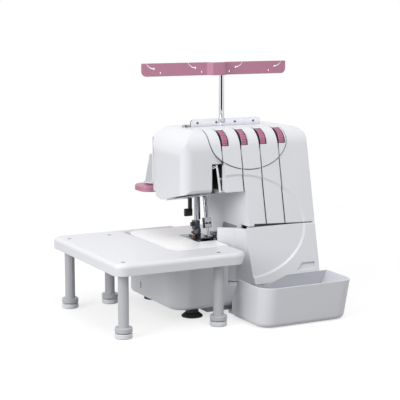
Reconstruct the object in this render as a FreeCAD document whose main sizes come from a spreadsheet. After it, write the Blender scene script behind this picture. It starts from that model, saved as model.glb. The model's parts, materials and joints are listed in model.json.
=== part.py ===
import FreeCAD, Part
import math
import os
import re

import Sketcher

# Driving dimensions in millimetres. X runs to the right from the table's left end, Y to the rear from the
# front of the waste bin, Z up from the surface that the machine stands on.
SIZES = {
    # shared clearances and walls
    "run_gap": 0.05,
    "seat_gap": 0.3,
    "free_gap": 1.5,
    "wall": 3,
    "edge_break": 1,
    "driver_slot_width": 0.8,
    "driver_slot_depth": 1,
    # bed and lower casing
    "bed_left": 126,
    "bed_front": 112,
    "bed_rear": 300,
    "bed_top": 115,
    "bed_floor": 15,
    "bed_corner": 28,
    "bed_bottom_edge": 9,
    "plate_thick": 3,
    "seam_behind": 50,
    "groove_width": 1,
    "groove_depth": 0.8,
    "body_right": 383,
    # column, arm and head
    "column_left": 260,
    "front_at_seam": 111,
    "seam": 141,
    "lean": 0.213,
    "body_top": 295,
    "body_rear": 268,
    "cover_split": 240,
    "top_round": 34,
    "side_round": 16,
    "rear_left_round": 24,
    "front_side_round": 8,
    "arm_left": 226,
    "arm_bottom": 197,
    "throat_round": 9,
    "finger_left": 270,
    "finger_length": 84,
    "finger_rise": 3.6,
    "head_left": 155.5,
    "head_front": 138,
    "head_bottom_front": 196,
    "head_bottom_low": 178,
    "head_low_place": 222,
    "head_bottom_rear": 189,
    "head_top_round": 40,
    "head_edge_round": 16,
    "recess_left": 206,
    "recess_right": 224.6,
    "recess_wall": 2,
    "recess_top": 242,
    "recess_depth": 36,
    # recessed oval field that runs over the column and the looper cover
    "field_x": 242,
    "field_z": 142,
    "field_wide": 123,
    "field_tall": 85,
    "field_band": 3.6,
    "field_depth": 1.8,
    # tension panel, thread slots and dials
    "panel_x": 273.5,
    "panel_z": 280,
    "panel_wide": 70.5,
    "panel_tall": 48,
    "panel_rear": 200,
    "panel_proud": 1,
    "panel_thick": 6,
    "slot_first": 222.5,
    "slot_pitch": 35,
    "slot_width": 2.2,
    "slot_depth": 2.3,
    "dial_offset": 2,
    "dial_width": 11.4,
    "dial_radius": 22,
    "dial_y": 160,
    "dial_z": 271,
    "dial_gap": 0.5,
    "axle_radius": 3,
    "disc_radius": 11,
    "disc_thick": 0.8,
    # looper cover
    "cover_low": 50,
    "cover_wall": 4,
    "scoop_left": 223,
    "scoop_back": 152,
    "valley_x": 246,
    "valley_y": 131,
    "valley_round": 8,
    "scoop_top": 137,
    "grip_inset": 42.5,
    "grip_width": 35,
    "grip_slant": 10,
    "grip_low": 65,
    "grip_height": 11.5,
    "grip_depth": 2.6,
    # waste bin
    "bin_left": 223,
    "bin_over": 7,
    "bin_right_draft": 7,
    "bin_front_draft": 7,
    "bin_rear_top": 83,
    "bin_rear_bottom": 102,
    "bin_low": 0,
    "bin_tab": 14,
    "bin_tab_height": 6,
    "bin_top": 64,
    "bin_wall": 2.4,
    "bin_corner": 24,
    "bin_edge": 9,
    "bin_knee": 24,
    "bin_dip": 49.5,
    "bin_dip_end": 283,
    "bin_dip_run": 35,
    # extension table
    "table_length": 224,
    "table_gap": 0.5,
    "table_front": 47,
    "table_behind": 17.5,
    "table_thick": 18,
    "table_end_draft": 14,
    "table_corner": 18,
    "table_edge": 7,
    "leg_radius": 8.2,
    "leg_inset_x": 18,
    "leg_front_y": 66,
    "leg_front_right": 179,
    "leg_rear_inset": 37,
    "leg_rear_right": 89,
    "collar_radius": 13.5,
    "collar_height": 8,
    "foot_height": 7.5,
    "stud_radius": 4,
    "stud_length": 16,
    "table_screw_radius": 3.2,
    "table_screw_proud": 0.4,
    "table_screw_sink": 1,
    # suction feet and bottom tray
    "suction_radius": 17,
    "suction_neck": 10.4,
    "suction_lip": 2,
    "suction_left": 169,
    "suction_inset": 21,
    "suction_front": 136,
    "suction_rear": 278,
    "tray_low": 4,
    "tray_floor_left": 192,
    "tray_floor_inset": 43,
    # needle plate and stitching
    "needle_x": 221,
    "needle_y": 178,
    "needle_slope": 0.2126,
    "needle_spread": 3,
    "needle_radius": 0.45,
    "needle_shank": 1,
    "needle_below": 8,
    "needle_bar_radius": 3.2,
    "needle_stroke": 27,
    "clamp_low": 133,
    "clamp_height": 17,
    "clamp_screw_radius": 1.4,
    "clamp_screw_proud": 2.4,
    "needle_plate_left": 191,
    "needle_plate_width": 39,
    "needle_plate_front": 158,
    "feed_row_width": 3.4,
    "feed_row_pitch": 7,
    "feed_rows_left": 198,
    "feed_length": 24,
    "feed_travel": 2,
    "tooth_depth": 0.8,
    "feed_stem_low": 88,
    "presser_x": 208,
    "presser_y": 198,
    "presser_radius": 3,
    "pressure_screw_radius": 6,
    "pressure_screw_x": 199,
    "pressure_screw_y": 216,
    "foot_sole": 2.4,
    "foot_length": 50,
    "foot_width": 22,
    "toe_length": 6,
    "toe_rise": 3,
    "ankle_half": 5,
    "ankle_reach": 12,
    "heel_half": 3,
    "ankle_screw_radius": 3.4,
    "ankle_screw_length": 4,
    "lever_length": 34,
    "lever_width": 11,
    "lever_thick": 3,
    "arm_shaft_radius": 5,
    "stud_rise": 13,
    "stud_pin_radius": 2.5,
    # loopers and knives
    "looper_z": 48,
    "looper_first_x": 244,
    "looper_pitch": 14,
    "looper_shaft_radius": 4,
    "looper_y": 163,
    "looper_reach": 56,
    "knife_thick": 1.6,
    "knife_rod_x": 248,
    "knife_rod_y": 186,
    "knife_rod_radius": 3,
    # machine frame
    "post_left": 282,
    "post_width": 18,
    "post_front": 214,
    "post_depth": 22,
    "guide_low": 200,
    "guide_height": 16,
    # presser lifter
    "lifter_y": 256,
    "lifter_z": 200,
    "lifter_x": 226.8,
    "lifter_reach": 60,
    "lifter_stem": 6,
    "paddle_left": 10.5,
    "paddle_right": 4,
    "paddle_height": 13,
    "lifter_pin_radius": 2.5,
    # drive
    "shaft_y": 205,
    "shaft_z": 72,
    "shaft_radius": 6,
    "shaft_pulley_radius": 27,
    "motor_y": 255,
    "motor_z": 52,
    "motor_radius": 27,
    "motor_left": 306,
    "motor_length": 48,
    "motor_shaft_radius": 3,
    "motor_pulley_radius": 9,
    "pulley_inset": 21,
    "pulley_width": 9,
    "belt_thick": 2,
    "handwheel_radius": 34,
    "handwheel_width": 22,
    "handwheel_rim": 3,
    "handwheel_bevel": 5,
    "handwheel_dish": 4,
    "handwheel_lip": 4,
    "motor_boss": 3,
    # side controls
    "side_dial_radius": 13,
    "side_dial_height": 11,
    "side_dial_y": 148,
    "stitch_dial_z": 58,
    "differential_dial_z": 92,
    "inlet_y": 256,
    "inlet_width": 22,
    "inlet_z": 28,
    "inlet_height": 16,
    "switch_z": 60,
    "pivot_radius": 1,
    "switch_height": 26,
    # thread stand
    "tray_left": 150,
    "tray_length": 296,
    "tray_front": 272,
    "tray_depth": 50,
    "tray_z": 183,
    "tray_thick": 10,
    "tray_corner": 15,
    "pin_first": 182.5,
    "pin_pitch": 77,
    "pin_y": 297,
    "pin_radius": 4.6,
    "pin_top": 274,
    "pin_flange": 1.5,
    "pin_tip": 2,
    "cone_radius": 20,
    "cone_tip_radius": 11,
    "cone_height": 48,
    "cone_base": 2,
    "cone_sleeve": 2,
    "fin_thick": 1.6,
    "pole_x": 306,
    "pole_y": 291,
    "pole_radius": 4.35,
    "pole_wall": 1.2,
    "pole_lower_top": 300,
    "pole_upper_low": 264,
    "bar_left": 157,
    "bar_right": 436,
    "bar_low": 374,
    "bar_height": 22,
    "bar_thick": 3,
    "bar_hub_radius": 8,
    "slit_first": 180,
    "slit_pitch": 78,
    "slit_half": 0.9,
    "slit_low": 13,
    "slit_reach": 15,
    "slit_eye_radius": 2,
    "eye_shift": 12,
    "eye_drop": 7,
    "eye_radius": 1.8,
    # clear thread guide
    "clear_left": 207,
    "clear_length": 131,
    "clear_y": 214,
    "clear_height": 12,
    "clear_thick": 3,
    "clear_hole_radius": 2,
}

doc = FreeCAD.newDocument("overlock_machine")
dims = doc.addObject("Spreadsheet::Sheet", "dims")
for row, (alias, value) in enumerate(SIZES.items(), 1):
    dims.set(f"A{row}", alias)
    dims.set(f"B{row}", str(value))
    dims.setAlias(f"B{row}", alias)
doc.recompute()

# The part's origin is the middle of its footprint: the table's left end to the spool tray's right end,
# and the bin's front to the spool tray's rear.
CENTRE = ("(tray_left + tray_length) / 2", "(tray_front + tray_depth) / 2", "0")
TURN = {
    "Z": FreeCAD.Rotation(),
    "X": FreeCAD.Rotation(FreeCAD.Vector(0, 1, 0), 90),
    "Y": FreeCAD.Rotation(FreeCAD.Vector(1, 0, 0), -90),
}
COVER_BACK = "bed_front + 3 * wall"
NODES = []


def formula(text):
    """Name the sheet in front of each alias of an expression."""
    return re.sub(r"[a-z]\w*", lambda word: word[0] if word[0] == "sqrt" else "dims." + word[0], str(text))


def bind(obj, path, text):
    """Hold one property of an object to an expression of the sheet."""
    obj.setExpression(path, formula(text))


def place(obj, x, y, z, turn=None):
    if turn is not None:
        obj.Placement = FreeCAD.Placement(FreeCAD.Vector(), turn)
    for axis, text, middle in zip("xyz", (x, y, z), CENTRE):
        bind(obj, f"Placement.Base.{axis}", f"({text}) - {middle}")


def length(span):
    return f"({span[1]}) - ({span[0]})"


def along(axis, across, start):
    """Point whose place along the axis is start, and whose other two coordinates are across."""
    spots = list(across)
    spots.insert("XYZ".index(axis), start)
    return spots


def box(x, y, z):
    obj = doc.addObject("Part::Box", "box")
    for prop, span in zip(("Length", "Width", "Height"), (x, y, z)):
        bind(obj, prop, length(span))
    place(obj, x[0], y[0], z[0])
    return obj


def rod(axis, across, span, radius):
    obj = doc.addObject("Part::Cylinder", "rod")
    bind(obj, "Radius", radius)
    bind(obj, "Height", length(span))
    place(obj, *along(axis, across, span[0]), TURN[axis])
    return obj


def joined(*parts):
    obj = doc.addObject("Part::MultiFuse", "joined")
    obj.Shapes = list(parts)
    return obj


def shared(*parts):
    obj = doc.addObject("Part::MultiCommon", "shared")
    obj.Shapes = list(parts)
    return obj


def cut(base, *tools):
    obj = doc.addObject("Part::Cut", "cut")
    obj.Base = base
    obj.Tool = tools[0] if len(tools) == 1 else joined(*tools)
    return obj


def group(parts):
    obj = doc.addObject("Part::Compound", "group")
    obj.Links = list(parts)
    return obj


def node(name, obj):
    obj.Label = name
    NODES.append(obj)
    return obj


def origin_plane(body, role):
    return next(item for item in body.Origin.OriginFeatures if item.Role == role)


# where a sketch's corners are drawn before the sheet's sizes move them
FIRST_PLACE = 99
FIRST_RADIUS = 50


def outline(sketch, corners):
    """Closed polygon, each corner held to the sheet by its two coordinates."""
    count = len(corners)
    middle = FreeCAD.Vector(FIRST_PLACE, FIRST_PLACE, 0)
    turns = [math.tau * i / count for i in range(count)]
    spots = [middle + FreeCAD.Vector(math.cos(turn), math.sin(turn), 0) * FIRST_RADIUS for turn in turns]
    sketch.addGeometry([Part.LineSegment(spots[i], spots[(i + 1) % count]) for i in range(count)], False)
    rules = [Sketcher.Constraint("Coincident", i, 2, (i + 1) % count, 1) for i in range(count)]
    held = {}
    for i, corner in enumerate(corners):
        for text, kind, axis in zip(corner, ("DistanceX", "DistanceY"), (-2, -1)):
            if text == "0":
                rules.append(Sketcher.Constraint("PointOnObject", i, 1, axis))
                continue
            held[len(rules)] = text
            rules.append(Sketcher.Constraint(kind, -1, 1, i, 1, FIRST_PLACE))
    sketch.addConstraint(rules)
    for index, text in held.items():
        bind(sketch, f"Constraints[{index}]", text)


def sketched(plane, corners):
    body = doc.addObject("PartDesign::Body", "body")
    sketch = body.newObject("Sketcher::SketchObject", "outline")
    sketch.AttachmentSupport = (origin_plane(body, plane + "_Plane"), [""])
    sketch.MapMode = "FlatFace"
    outline(sketch, corners)
    return body, sketch


def prism(plane, span, corners, rounds=()):
    """Outline drawn through span along the plane's normal. Each round is a corner number and a radius."""
    body, sketch = sketched(plane, corners)
    pad = body.newObject("PartDesign::Pad", "pad")
    pad.Profile = sketch
    pad.Reversed = plane == "XZ"
    bind(pad, "Length", length(span))
    normal = {"XY": "Z", "XZ": "Y", "YZ": "X"}[plane]
    place(body, *along(normal, ("0", "0"), span[0]))
    doc.recompute()
    spots = [sketch.getPoint(index, 1) for index, radius in rounds]
    top = pad
    for spot, (index, radius) in zip(spots, rounds):
        corner = sketch.Placement.multVec(spot)
        fillet = body.newObject("PartDesign::Fillet", "round")
        fillet.Base = (top, [edge_through(top.Shape, corner, "XYZ".index(normal))])
        bind(fillet, "Radius", radius)
        doc.recompute()
        top = fillet
    return body


def edge_through(shape, corner, normal):
    """Name of the straight edge that rises along the normal from a corner of the outline."""
    for number, edge in enumerate(shape.Edges, 1):
        ends = [vertex.Point for vertex in edge.Vertexes]
        if len(ends) < 2:
            continue
        sides = [axis for axis in range(3) if axis != normal]
        if all(abs(end[axis] - corner[axis]) < 0.001 for end in ends for axis in sides):
            return f"Edge{number}"
    raise ValueError(f"no edge at {corner}")


def turned(axis, across, start, profile):
    """Half section of (radius, height) corners, turned about an axis."""
    body, sketch = sketched("XZ", profile)
    revolution = body.newObject("PartDesign::Revolution", "turn")
    revolution.Profile = sketch
    revolution.ReferenceAxis = (sketch, ["V_Axis"])
    revolution.Angle = 360
    place(body, *along(axis, across, start), TURN[axis])
    return body


def rounded(base, *rounds):
    """Part fillet. Each round is a radius and a test of an edge's box against the solid's box."""
    doc.recompute()
    whole = base.Shape.BoundBox
    obj = doc.addObject("Part::Fillet", "rounded")
    obj.Base = base
    edges = list(enumerate(base.Shape.Edges, 1))
    obj.Edges = [(i, getattr(dims, radius), getattr(dims, radius))
                 for radius, pick in rounds for i, edge in edges if pick(edge.BoundBox, whole)]
    return obj


def near(a, b):
    return abs(a - b) < 0.01


def on_bottom(edge, whole):
    return near(edge.ZMax, whole.ZMin)


def on_top(edge, whole):
    return near(edge.ZMin, whole.ZMax)


def on_outline(edge, whole):
    """Edge that reaches one of the solid's four sides."""
    return (near(edge.XMin, whole.XMin) or near(edge.XMax, whole.XMax)
            or near(edge.YMin, whole.YMin) or near(edge.YMax, whole.YMax))


def oval_prism(x, z, wide, tall, span):
    """Elliptic rod along Y."""
    ellipse = doc.addObject("Part::Ellipse", "oval")
    bind(ellipse, "MajorRadius", wide)
    bind(ellipse, "MinorRadius", tall)
    place(ellipse, x, span[0], z, FreeCAD.Rotation(FreeCAD.Vector(1, 0, 0), 90))
    solid = doc.addObject("Part::Extrusion", "oval_prism")
    solid.Base = ellipse
    solid.DirMode = "Custom"
    solid.Dir = FreeCAD.Vector(0, 1, 0)
    solid.Solid = True
    bind(solid, "LengthFwd", length(span))
    return solid


def front_y(z):
    """Y of the leaning front at a height."""
    return f"front_at_seam + lean * ({z} - seam)"


TENSION_AXIS = ("dial_y", "dial_z")
PLATE_LOW = "bed_top - plate_thick"
PLATE_SEAM = "needle_y + seam_behind"
BIN_RIGHT = "(body_right + bin_over)"
TABLE_REAR = "(bed_rear + table_gap + table_behind)"
PULLEY_LEFT = "(body_right - pulley_inset)"
TRAY_RIGHT = "(body_right - tray_floor_inset)"
SWITCH_AXIS = ("body_right - wall / 2", "switch_z + switch_height / 2")


def slot_x(number):
    return f"slot_first + {number} * slot_pitch"


def recessed_field():
    """Shallow dish with a sloped band, cut into the leaning front."""
    to_left = FreeCAD.Rotation(FreeCAD.Vector(0, 0, 1), 180)
    turn = FreeCAD.Rotation(FreeCAD.Vector(1, 0, 0), 90 - math.degrees(math.atan(dims.lean))) * to_left
    steep = "sqrt(1 + lean * lean)"
    rims = []
    for side in (1, -1):
        rim = doc.addObject("Part::Ellipse", "field_rim")
        bind(rim, "MajorRadius", f"field_wide + {side} * field_band")
        bind(rim, "MinorRadius", f"field_tall + {side} * field_band")
        place(rim, "field_x", f"{front_y('field_z')} - {side} * field_depth / {steep}",
              f"field_z + {side} * field_depth * lean / {steep}", turn)
        rims.append(rim)
    dish = doc.addObject("Part::Loft", "field")
    dish.Sections = rims
    dish.Solid = True
    dish.Ruled = True
    right_part = box(("recess_right - 2 * wall", "body_right + wall"), ("0", "cover_split"),
                     ("0", "body_top"))
    return shared(dish, right_part)


def column_form(left, inset, rear, low):
    """Arm and column as the overlap of a side view and a front view."""
    steep = f"({inset}) * sqrt(1 + lean * lean)"
    top = f"body_top - ({inset})"
    side = prism("YZ", (left, "body_right"), [
        (f"{front_y(low)} + {steep}", low),
        (f"{front_y(top)} + {steep}", top),
        (rear, top),
        (rear, low),
    ], [(1, f"top_round - ({inset})")])
    right = f"body_right - ({inset})"
    face = prism("XZ", ("0", rear), [
        (left, f"arm_bottom + ({inset})"),
        (left, top),
        (right, top),
        (right, low),
        (f"column_left + ({inset})", low),
        (f"column_left + ({inset})", f"arm_bottom + ({inset})"),
    ], [(2, f"side_round - ({inset})")])
    return shared(side, face)


def head_form(right, inset, rear, rear_low):
    """Head as the overlap of side, front and top views."""
    front = f"head_front + ({inset})"
    left = f"head_left + ({inset})"
    top = f"body_top - ({inset})"
    side = prism("YZ", (left, right), [
        (front, f"head_bottom_front + ({inset})"),
        (front, top),
        (rear, top),
        (rear, f"{rear_low} + ({inset})"),
        ("head_low_place", f"head_bottom_low + ({inset})"),
    ], [(1, f"top_round - ({inset})"), (0, f"throat_round - ({inset})")])
    face = prism("XZ", (front, rear), [
        (left, "bed_top"),
        (left, top),
        (right, top),
        (right, "bed_top"),
    ], [(1, f"head_top_round - ({inset})")])
    plan = prism("XY", ("bed_top", top), [
        (left, front),
        (right, front),
        (right, rear),
        (left, rear),
    ], [(0, f"head_edge_round - ({inset})")])
    return shared(side, face, plan)


HEAD_SPLIT_LOW = ("(head_bottom_low + (head_bottom_rear - head_bottom_low)"
                  " * (cover_split - head_low_place) / (body_rear - head_low_place))")


def thread_slots():
    """Shallow grooves for the four threads, from the dials down the leaning front."""
    lows = ("recess_top - wall", "arm_bottom - wall", "seam - wall", "seam - wall")
    strips = [box((f"{slot_x(number)} - slot_width / 2", f"{slot_x(number)} + slot_width / 2"),
                  ("bin_rear_top", "panel_rear - 2 * wall"), (low, "body_top + wall"))
              for number, low in enumerate(lows)]
    return cut(joined(*strips), lean_core("slot_depth", "seam - 2 * wall"))


def dial_span(number):
    start = f"{slot_x(number)} + dial_offset"
    return start, f"{start} + dial_width"


def dial_windows():
    """Rooms for the dials, each from its thread slot to just past the dial."""
    windows = []
    for number in range(4):
        span = (f"{slot_x(number)} - slot_width / 2", f"{dial_span(number)[1]} + dial_gap")
        windows.append(rod("X", TENSION_AXIS, span, "dial_radius + dial_gap"))
    return windows


def upper_covers():
    """Front cover with head, arm and column, and the oval tension panel."""
    front = joined(column_form("arm_left", "0", "cover_split", "seam"),
                   head_form("arm_left", "0", "cover_split", HEAD_SPLIT_LOW))
    inside = "recess_right + recess_wall"
    behind = "cover_split + wall"
    recess_rear = "head_front + recess_depth"
    over_recess = box(("recess_left", f"{inside} + wall"), ("head_front + 2 * wall", behind),
                      ("recess_top + wall", "body_top - 2 * wall"))
    behind_recess = box(("recess_left", f"{inside} + wall"), (recess_rear, behind),
                        ("arm_bottom + wall", "body_top - 2 * wall"))
    hollow = joined(column_form(inside, "wall", behind, "seam - wall"),
                    head_form("recess_right", "wall", behind, HEAD_SPLIT_LOW), over_recess, behind_recess)
    sides = [box((left, f"{left} + wall"), (front_end, "cover_split"), (PLATE_LOW, "seam + wall"))
             for left, front_end in (("column_left", "valley_y + 2 * cover_wall"),
                                     ("body_right - wall", COVER_BACK))]
    recess = box(("recess_left", "recess_right"), ("bin_rear_top", recess_rear),
                 ("arm_bottom - 2 * wall", "recess_top"))
    bars = box(("recess_left - 2 * wall", "recess_right"), ("needle_y - 2 * wall", "cover_split"),
               ("bed_top", "arm_bottom + wall"))
    screw_hole = rod("Z", ("pressure_screw_x", "pressure_screw_y"),
                     ("body_top - 2 * wall", "body_top + wall"), "pressure_screw_radius + run_gap")
    shell = joined(cut(front, hollow), *sides)
    opened = cut(shell, recess, bars, panel_outline("seat_gap"), screw_hole, finger_gap())
    node("front_cover", cut(cut(opened, recessed_field()), thread_slots(), *dial_windows()))

    skin = cut(lean_core("-panel_proud", "arm_bottom"), lean_core("panel_thick - panel_proud", "seam"))
    node("tension_panel", cut(shared(skin, panel_outline("0")), thread_slots(), *dial_windows()))


def finger_gap():
    """Long wedge out of the front cover's lower edge, above the looper cover."""
    right = "finger_left + finger_length"
    return prism("XZ", ("bin_rear_top", "front_at_seam + 3 * wall"), [
        ("finger_left", "seam - wall"),
        (right, "seam - wall"),
        (right, "seam"),
        ("finger_left", "seam + finger_rise"),
    ])


def panel_outline(gap):
    """Front view of the tension panel: a half oval below straight sides."""
    wide = f"(panel_wide + {gap})"
    span = ("bin_rear_top", f"panel_rear + {gap}")
    sides = box((f"panel_x - {wide}", f"panel_x + {wide}"), span, ("panel_z", "body_top + wall"))
    return joined(oval_prism("panel_x", "panel_z", wide, f"panel_tall + {gap}", span), sides)


def lean_core(inset, low):
    """Leaning front and rounded top edge, across the panel's width."""
    steep = f"({inset}) * sqrt(1 + lean * lean)"
    top = f"body_top - ({inset})"
    return prism("YZ", ("panel_x - panel_wide - wall", "panel_x + panel_wide + wall"), [
        (f"{front_y(low)} + {steep}", low),
        (f"{front_y(top)} + {steep}", top),
        ("cover_split", top),
        ("cover_split", low),
    ], [(1, f"top_round - ({inset})")])


def rear_cover():
    """Rear shell behind head, arm and column."""
    outer = prism("XZ", ("cover_split", "body_rear"), [
        ("head_left", "head_bottom_rear"),
        ("head_left", "body_top"),
        ("body_right", "body_top"),
        ("body_right", PLATE_LOW),
        ("column_left", PLATE_LOW),
        ("column_left", "head_bottom_rear"),
    ], [(1, "head_top_round"), (2, "side_round")])
    inner = prism("XZ", ("cover_split - wall", "body_rear - wall"), [
        ("head_left + wall", "head_bottom_rear + wall"),
        ("head_left + wall", "body_top - wall"),
        ("body_right - wall", "body_top - wall"),
        ("body_right - wall", f"{PLATE_LOW} - wall"),
        ("column_left + wall", f"{PLATE_LOW} - wall"),
        ("column_left + wall", "head_bottom_rear + wall"),
    ], [(1, "head_top_round - wall"), (2, "side_round - wall")])
    lifter = box(("lifter_x - lifter_stem", "lifter_x + lifter_stem"),
                 ("cover_split - wall", "body_rear + wall"), ("bed_top", "head_bottom_rear + 3 * wall"))
    soft = rounded(outer, ("front_side_round", lambda e, s: near(e.YMin, s.YMax) and e.ZMax > s.ZMin + 1))
    node("rear_cover", cut(shared(soft, rear_plan("0")), shared(inner, rear_plan("wall")), lifter))


def rear_plan(inset):
    """Top view of the rear cover, with a large round at the left rear corner."""
    left, rear = f"head_left + ({inset})", f"body_rear - ({inset})"
    return prism("XY", (f"{PLATE_LOW} - wall", "body_top"), [
        (left, "cover_split - wall"),
        ("body_right", "cover_split - wall"),
        ("body_right", rear),
        (left, rear),
    ], [(3, f"rear_left_round - ({inset})")])


def looper_cover():
    """Leaning front door with a top lip, a scooped left return, a right return and a thumb grip."""
    top = "seam - free_gap"
    lean_wall = "cover_wall * sqrt(1 + lean * lean)"
    back = f"{COVER_BACK} - seat_gap"
    face = prism("YZ", ("column_left", "body_right"), [
        (front_y("cover_low"), "cover_low"),
        (front_y(top), top),
        (back, top),
        (back, f"{top} - cover_wall"),
        (f"{front_y(top)} - lean * cover_wall + {lean_wall}", f"{top} - cover_wall"),
        (f"{front_y('cover_low')} + {lean_wall}", "cover_low"),
    ], [(1, "wall")])
    side_wall = prism("YZ", ("body_right - cover_wall", "body_right"), [
        (f"{front_y('cover_low')} + 1", "cover_low"),
        (f"{front_y(top)} + 1", f"{top} - 1"),
        (back, f"{top} - 1"),
        (back, "cover_low"),
    ])
    scoop = prism("XY", ("cover_low", "scoop_top"), [
        ("scoop_left", "scoop_back"),
        ("valley_x", "valley_y"),
        ("column_left", front_y("cover_low")),
        ("column_left + cover_wall", front_y("cover_low")),
        ("column_left + cover_wall", front_y("seam")),
        ("valley_x + cover_wall", "valley_y + cover_wall"),
        ("scoop_left + cover_wall", "scoop_back"),
    ], [(1, "valley_round"), (5, "valley_round")])
    behind = prism("YZ", ("scoop_left - wall", "body_right"), [
        (front_y("cover_low"), "cover_low"),
        (front_y("scoop_top"), "scoop_top"),
        ("scoop_back + wall", "scoop_top"),
        ("scoop_back + wall", "cover_low"),
    ])
    door = joined(face, side_wall, shared(scoop, behind))
    node("looper_cover", cut(door, recessed_field(), thumb_grip()))


def thumb_grip():
    """Pocket of even depth in the leaning front, with one slanted end."""
    left = "body_right - grip_inset"
    right = f"{left} + grip_width"
    high = "grip_low + grip_height"
    pocket = prism("YZ", (left, right), [
        (f"{front_y('grip_low')} - wall", "grip_low"),
        (f"{front_y('grip_low')} + grip_depth", "grip_low"),
        (f"{front_y(high)} + grip_depth", high),
        (f"{front_y(high)} - wall", high),
    ])
    ends = prism("XZ", ("bin_front_draft", "cover_split"), [
        (left, "grip_low"),
        (right, "grip_low"),
        (right, high),
        (f"{left} + grip_slant", high),
    ])
    return shared(pocket, ends)


def bed():
    """Lower casing, bed plates, bottom tray and suction feet."""
    corners = [
        ("bed_left", "bed_front"),
        ("body_right", "bed_front"),
        ("body_right", "bed_rear"),
        ("bed_left", "bed_rear"),
    ]
    outer = prism("XY", ("bed_floor", "bed_top - plate_thick"), corners,
                  [(0, "bed_corner"), (3, "bed_corner"), (1, "front_side_round"), (2, "side_round")])
    soft = rounded(outer, ("bed_bottom_edge", on_bottom))
    inner = prism("XY", ("bed_floor + wall", "bed_top"), [
        ("bed_left + wall", "bed_front + wall"),
        ("body_right - wall", "bed_front + wall"),
        ("body_right - wall", "bed_rear - wall"),
        ("bed_left + wall", "bed_rear - wall"),
    ], [(0, "bed_corner - wall"), (3, "bed_corner - wall"), (1, "front_side_round - wall"),
        (2, "side_round - wall")])
    door = box(("scoop_left - free_gap", "body_right + wall"), ("bed_front - wall", COVER_BACK),
               ("cover_low - free_gap", "bed_top"))
    through = ("body_right - 2 * wall", "body_right + wall")
    holes = [rod("X", ("shaft_y", "shaft_z"), through, "shaft_radius + run_gap")]
    holes += [rod("X", ("side_dial_y", z), through, "axle_radius + run_gap")
              for z in ("stitch_dial_z", "differential_dial_z")]
    pivot_span = ("inlet_y - wall - seat_gap", "inlet_y + inlet_width + wall + seat_gap")
    holes.append(rod("Y", SWITCH_AXIS, pivot_span, "pivot_radius + run_gap"))
    holes += [box(through, ("inlet_y", "inlet_y + inlet_width"), (low, f"{low} + {height}"))
              for low, height in (("inlet_z", "inlet_height"), ("switch_z", "switch_height"))]
    grooves = [box(("bed_left - wall", "bed_left + groove_depth"), (y, f"{y} + groove_width"),
                   ("bed_floor", "bed_top")) for y in ("cover_split", "cover_split + 4 * wall")]
    floor_hole = box(("tray_floor_left + wall", f"{TRAY_RIGHT} - wall"),
                     ("suction_front", "suction_rear"), ("bed_floor - wall", "bed_floor + 2 * wall"))
    ledge_top = "cover_low - free_gap"
    ledge = box(("scoop_left - free_gap - wall", "column_left"),
                ("bed_front + wall / 2", "scoop_back + wall"), (f"{ledge_top} - wall", ledge_top))
    node("bed_casing", joined(cut(soft, inner, door, floor_hole, *holes, *grooves), ledge))

    plate_z = ("bed_top - plate_thick", "bed_top")
    plate_right = "column_left - seat_gap"
    front = prism("XY", plate_z, [
        ("bed_left", "bed_front"),
        ("scoop_left - free_gap", "bed_front"),
        ("scoop_left - free_gap", "scoop_back + free_gap"),
        (plate_right, "scoop_back + free_gap"),
        (plate_right, f"{PLATE_SEAM} - seat_gap"),
        ("bed_left", f"{PLATE_SEAM} - seat_gap"),
    ], [(0, "bed_corner")])
    through = ("bed_top - 2 * plate_thick", "bed_top + wall")
    plate_hole = box(("needle_plate_left - seat_gap", "needle_plate_left + needle_plate_width + seat_gap"),
                     ("needle_plate_front - seat_gap", PLATE_SEAM), through)
    knife_hole = box(("needle_plate_left + needle_plate_width", "knife_rod_x + 2 * knife_rod_radius"),
                     ("needle_y - 4 * wall", "knife_rod_y + 2 * knife_rod_radius"), through)
    node("bed_plate_front", cut(front, plate_hole, knife_hole))
    rear = prism("XY", plate_z, [
        ("bed_left", f"{PLATE_SEAM} + seat_gap"),
        (plate_right, f"{PLATE_SEAM} + seat_gap"),
        (plate_right, "body_rear + seat_gap"),
        ("body_right", "body_rear + seat_gap"),
        ("body_right", "bed_rear"),
        ("bed_left", "bed_rear"),
    ], [(5, "bed_corner"), (4, "side_round")])
    node("bed_plate_rear", rear)

    tray_outer = box(("tray_floor_left", TRAY_RIGHT),
                     ("suction_front - 2 * wall", "suction_rear + 2 * wall"), ("tray_low", "bed_floor"))
    tray_inner = box(("tray_floor_left + wall", f"{TRAY_RIGHT} - wall"),
                     ("suction_front - wall", "suction_rear + wall"), ("tray_low + wall", "bed_floor + wall"))
    node("bottom_tray", cut(rounded(tray_outer, ("wall", on_bottom)), tray_inner))

    feet = [turned("Z", (x, y), "0", [
        ("0", "0"),
        ("suction_radius", "0"),
        ("suction_radius", "suction_lip"),
        ("suction_neck", "bed_floor / 2"),
        ("suction_neck", "bed_floor"),
        ("0", "bed_floor"),
    ]) for x in ("suction_left", "body_right - suction_inset") for y in ("suction_front", "suction_rear")]
    node("suction_feet", group(feet))


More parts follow.
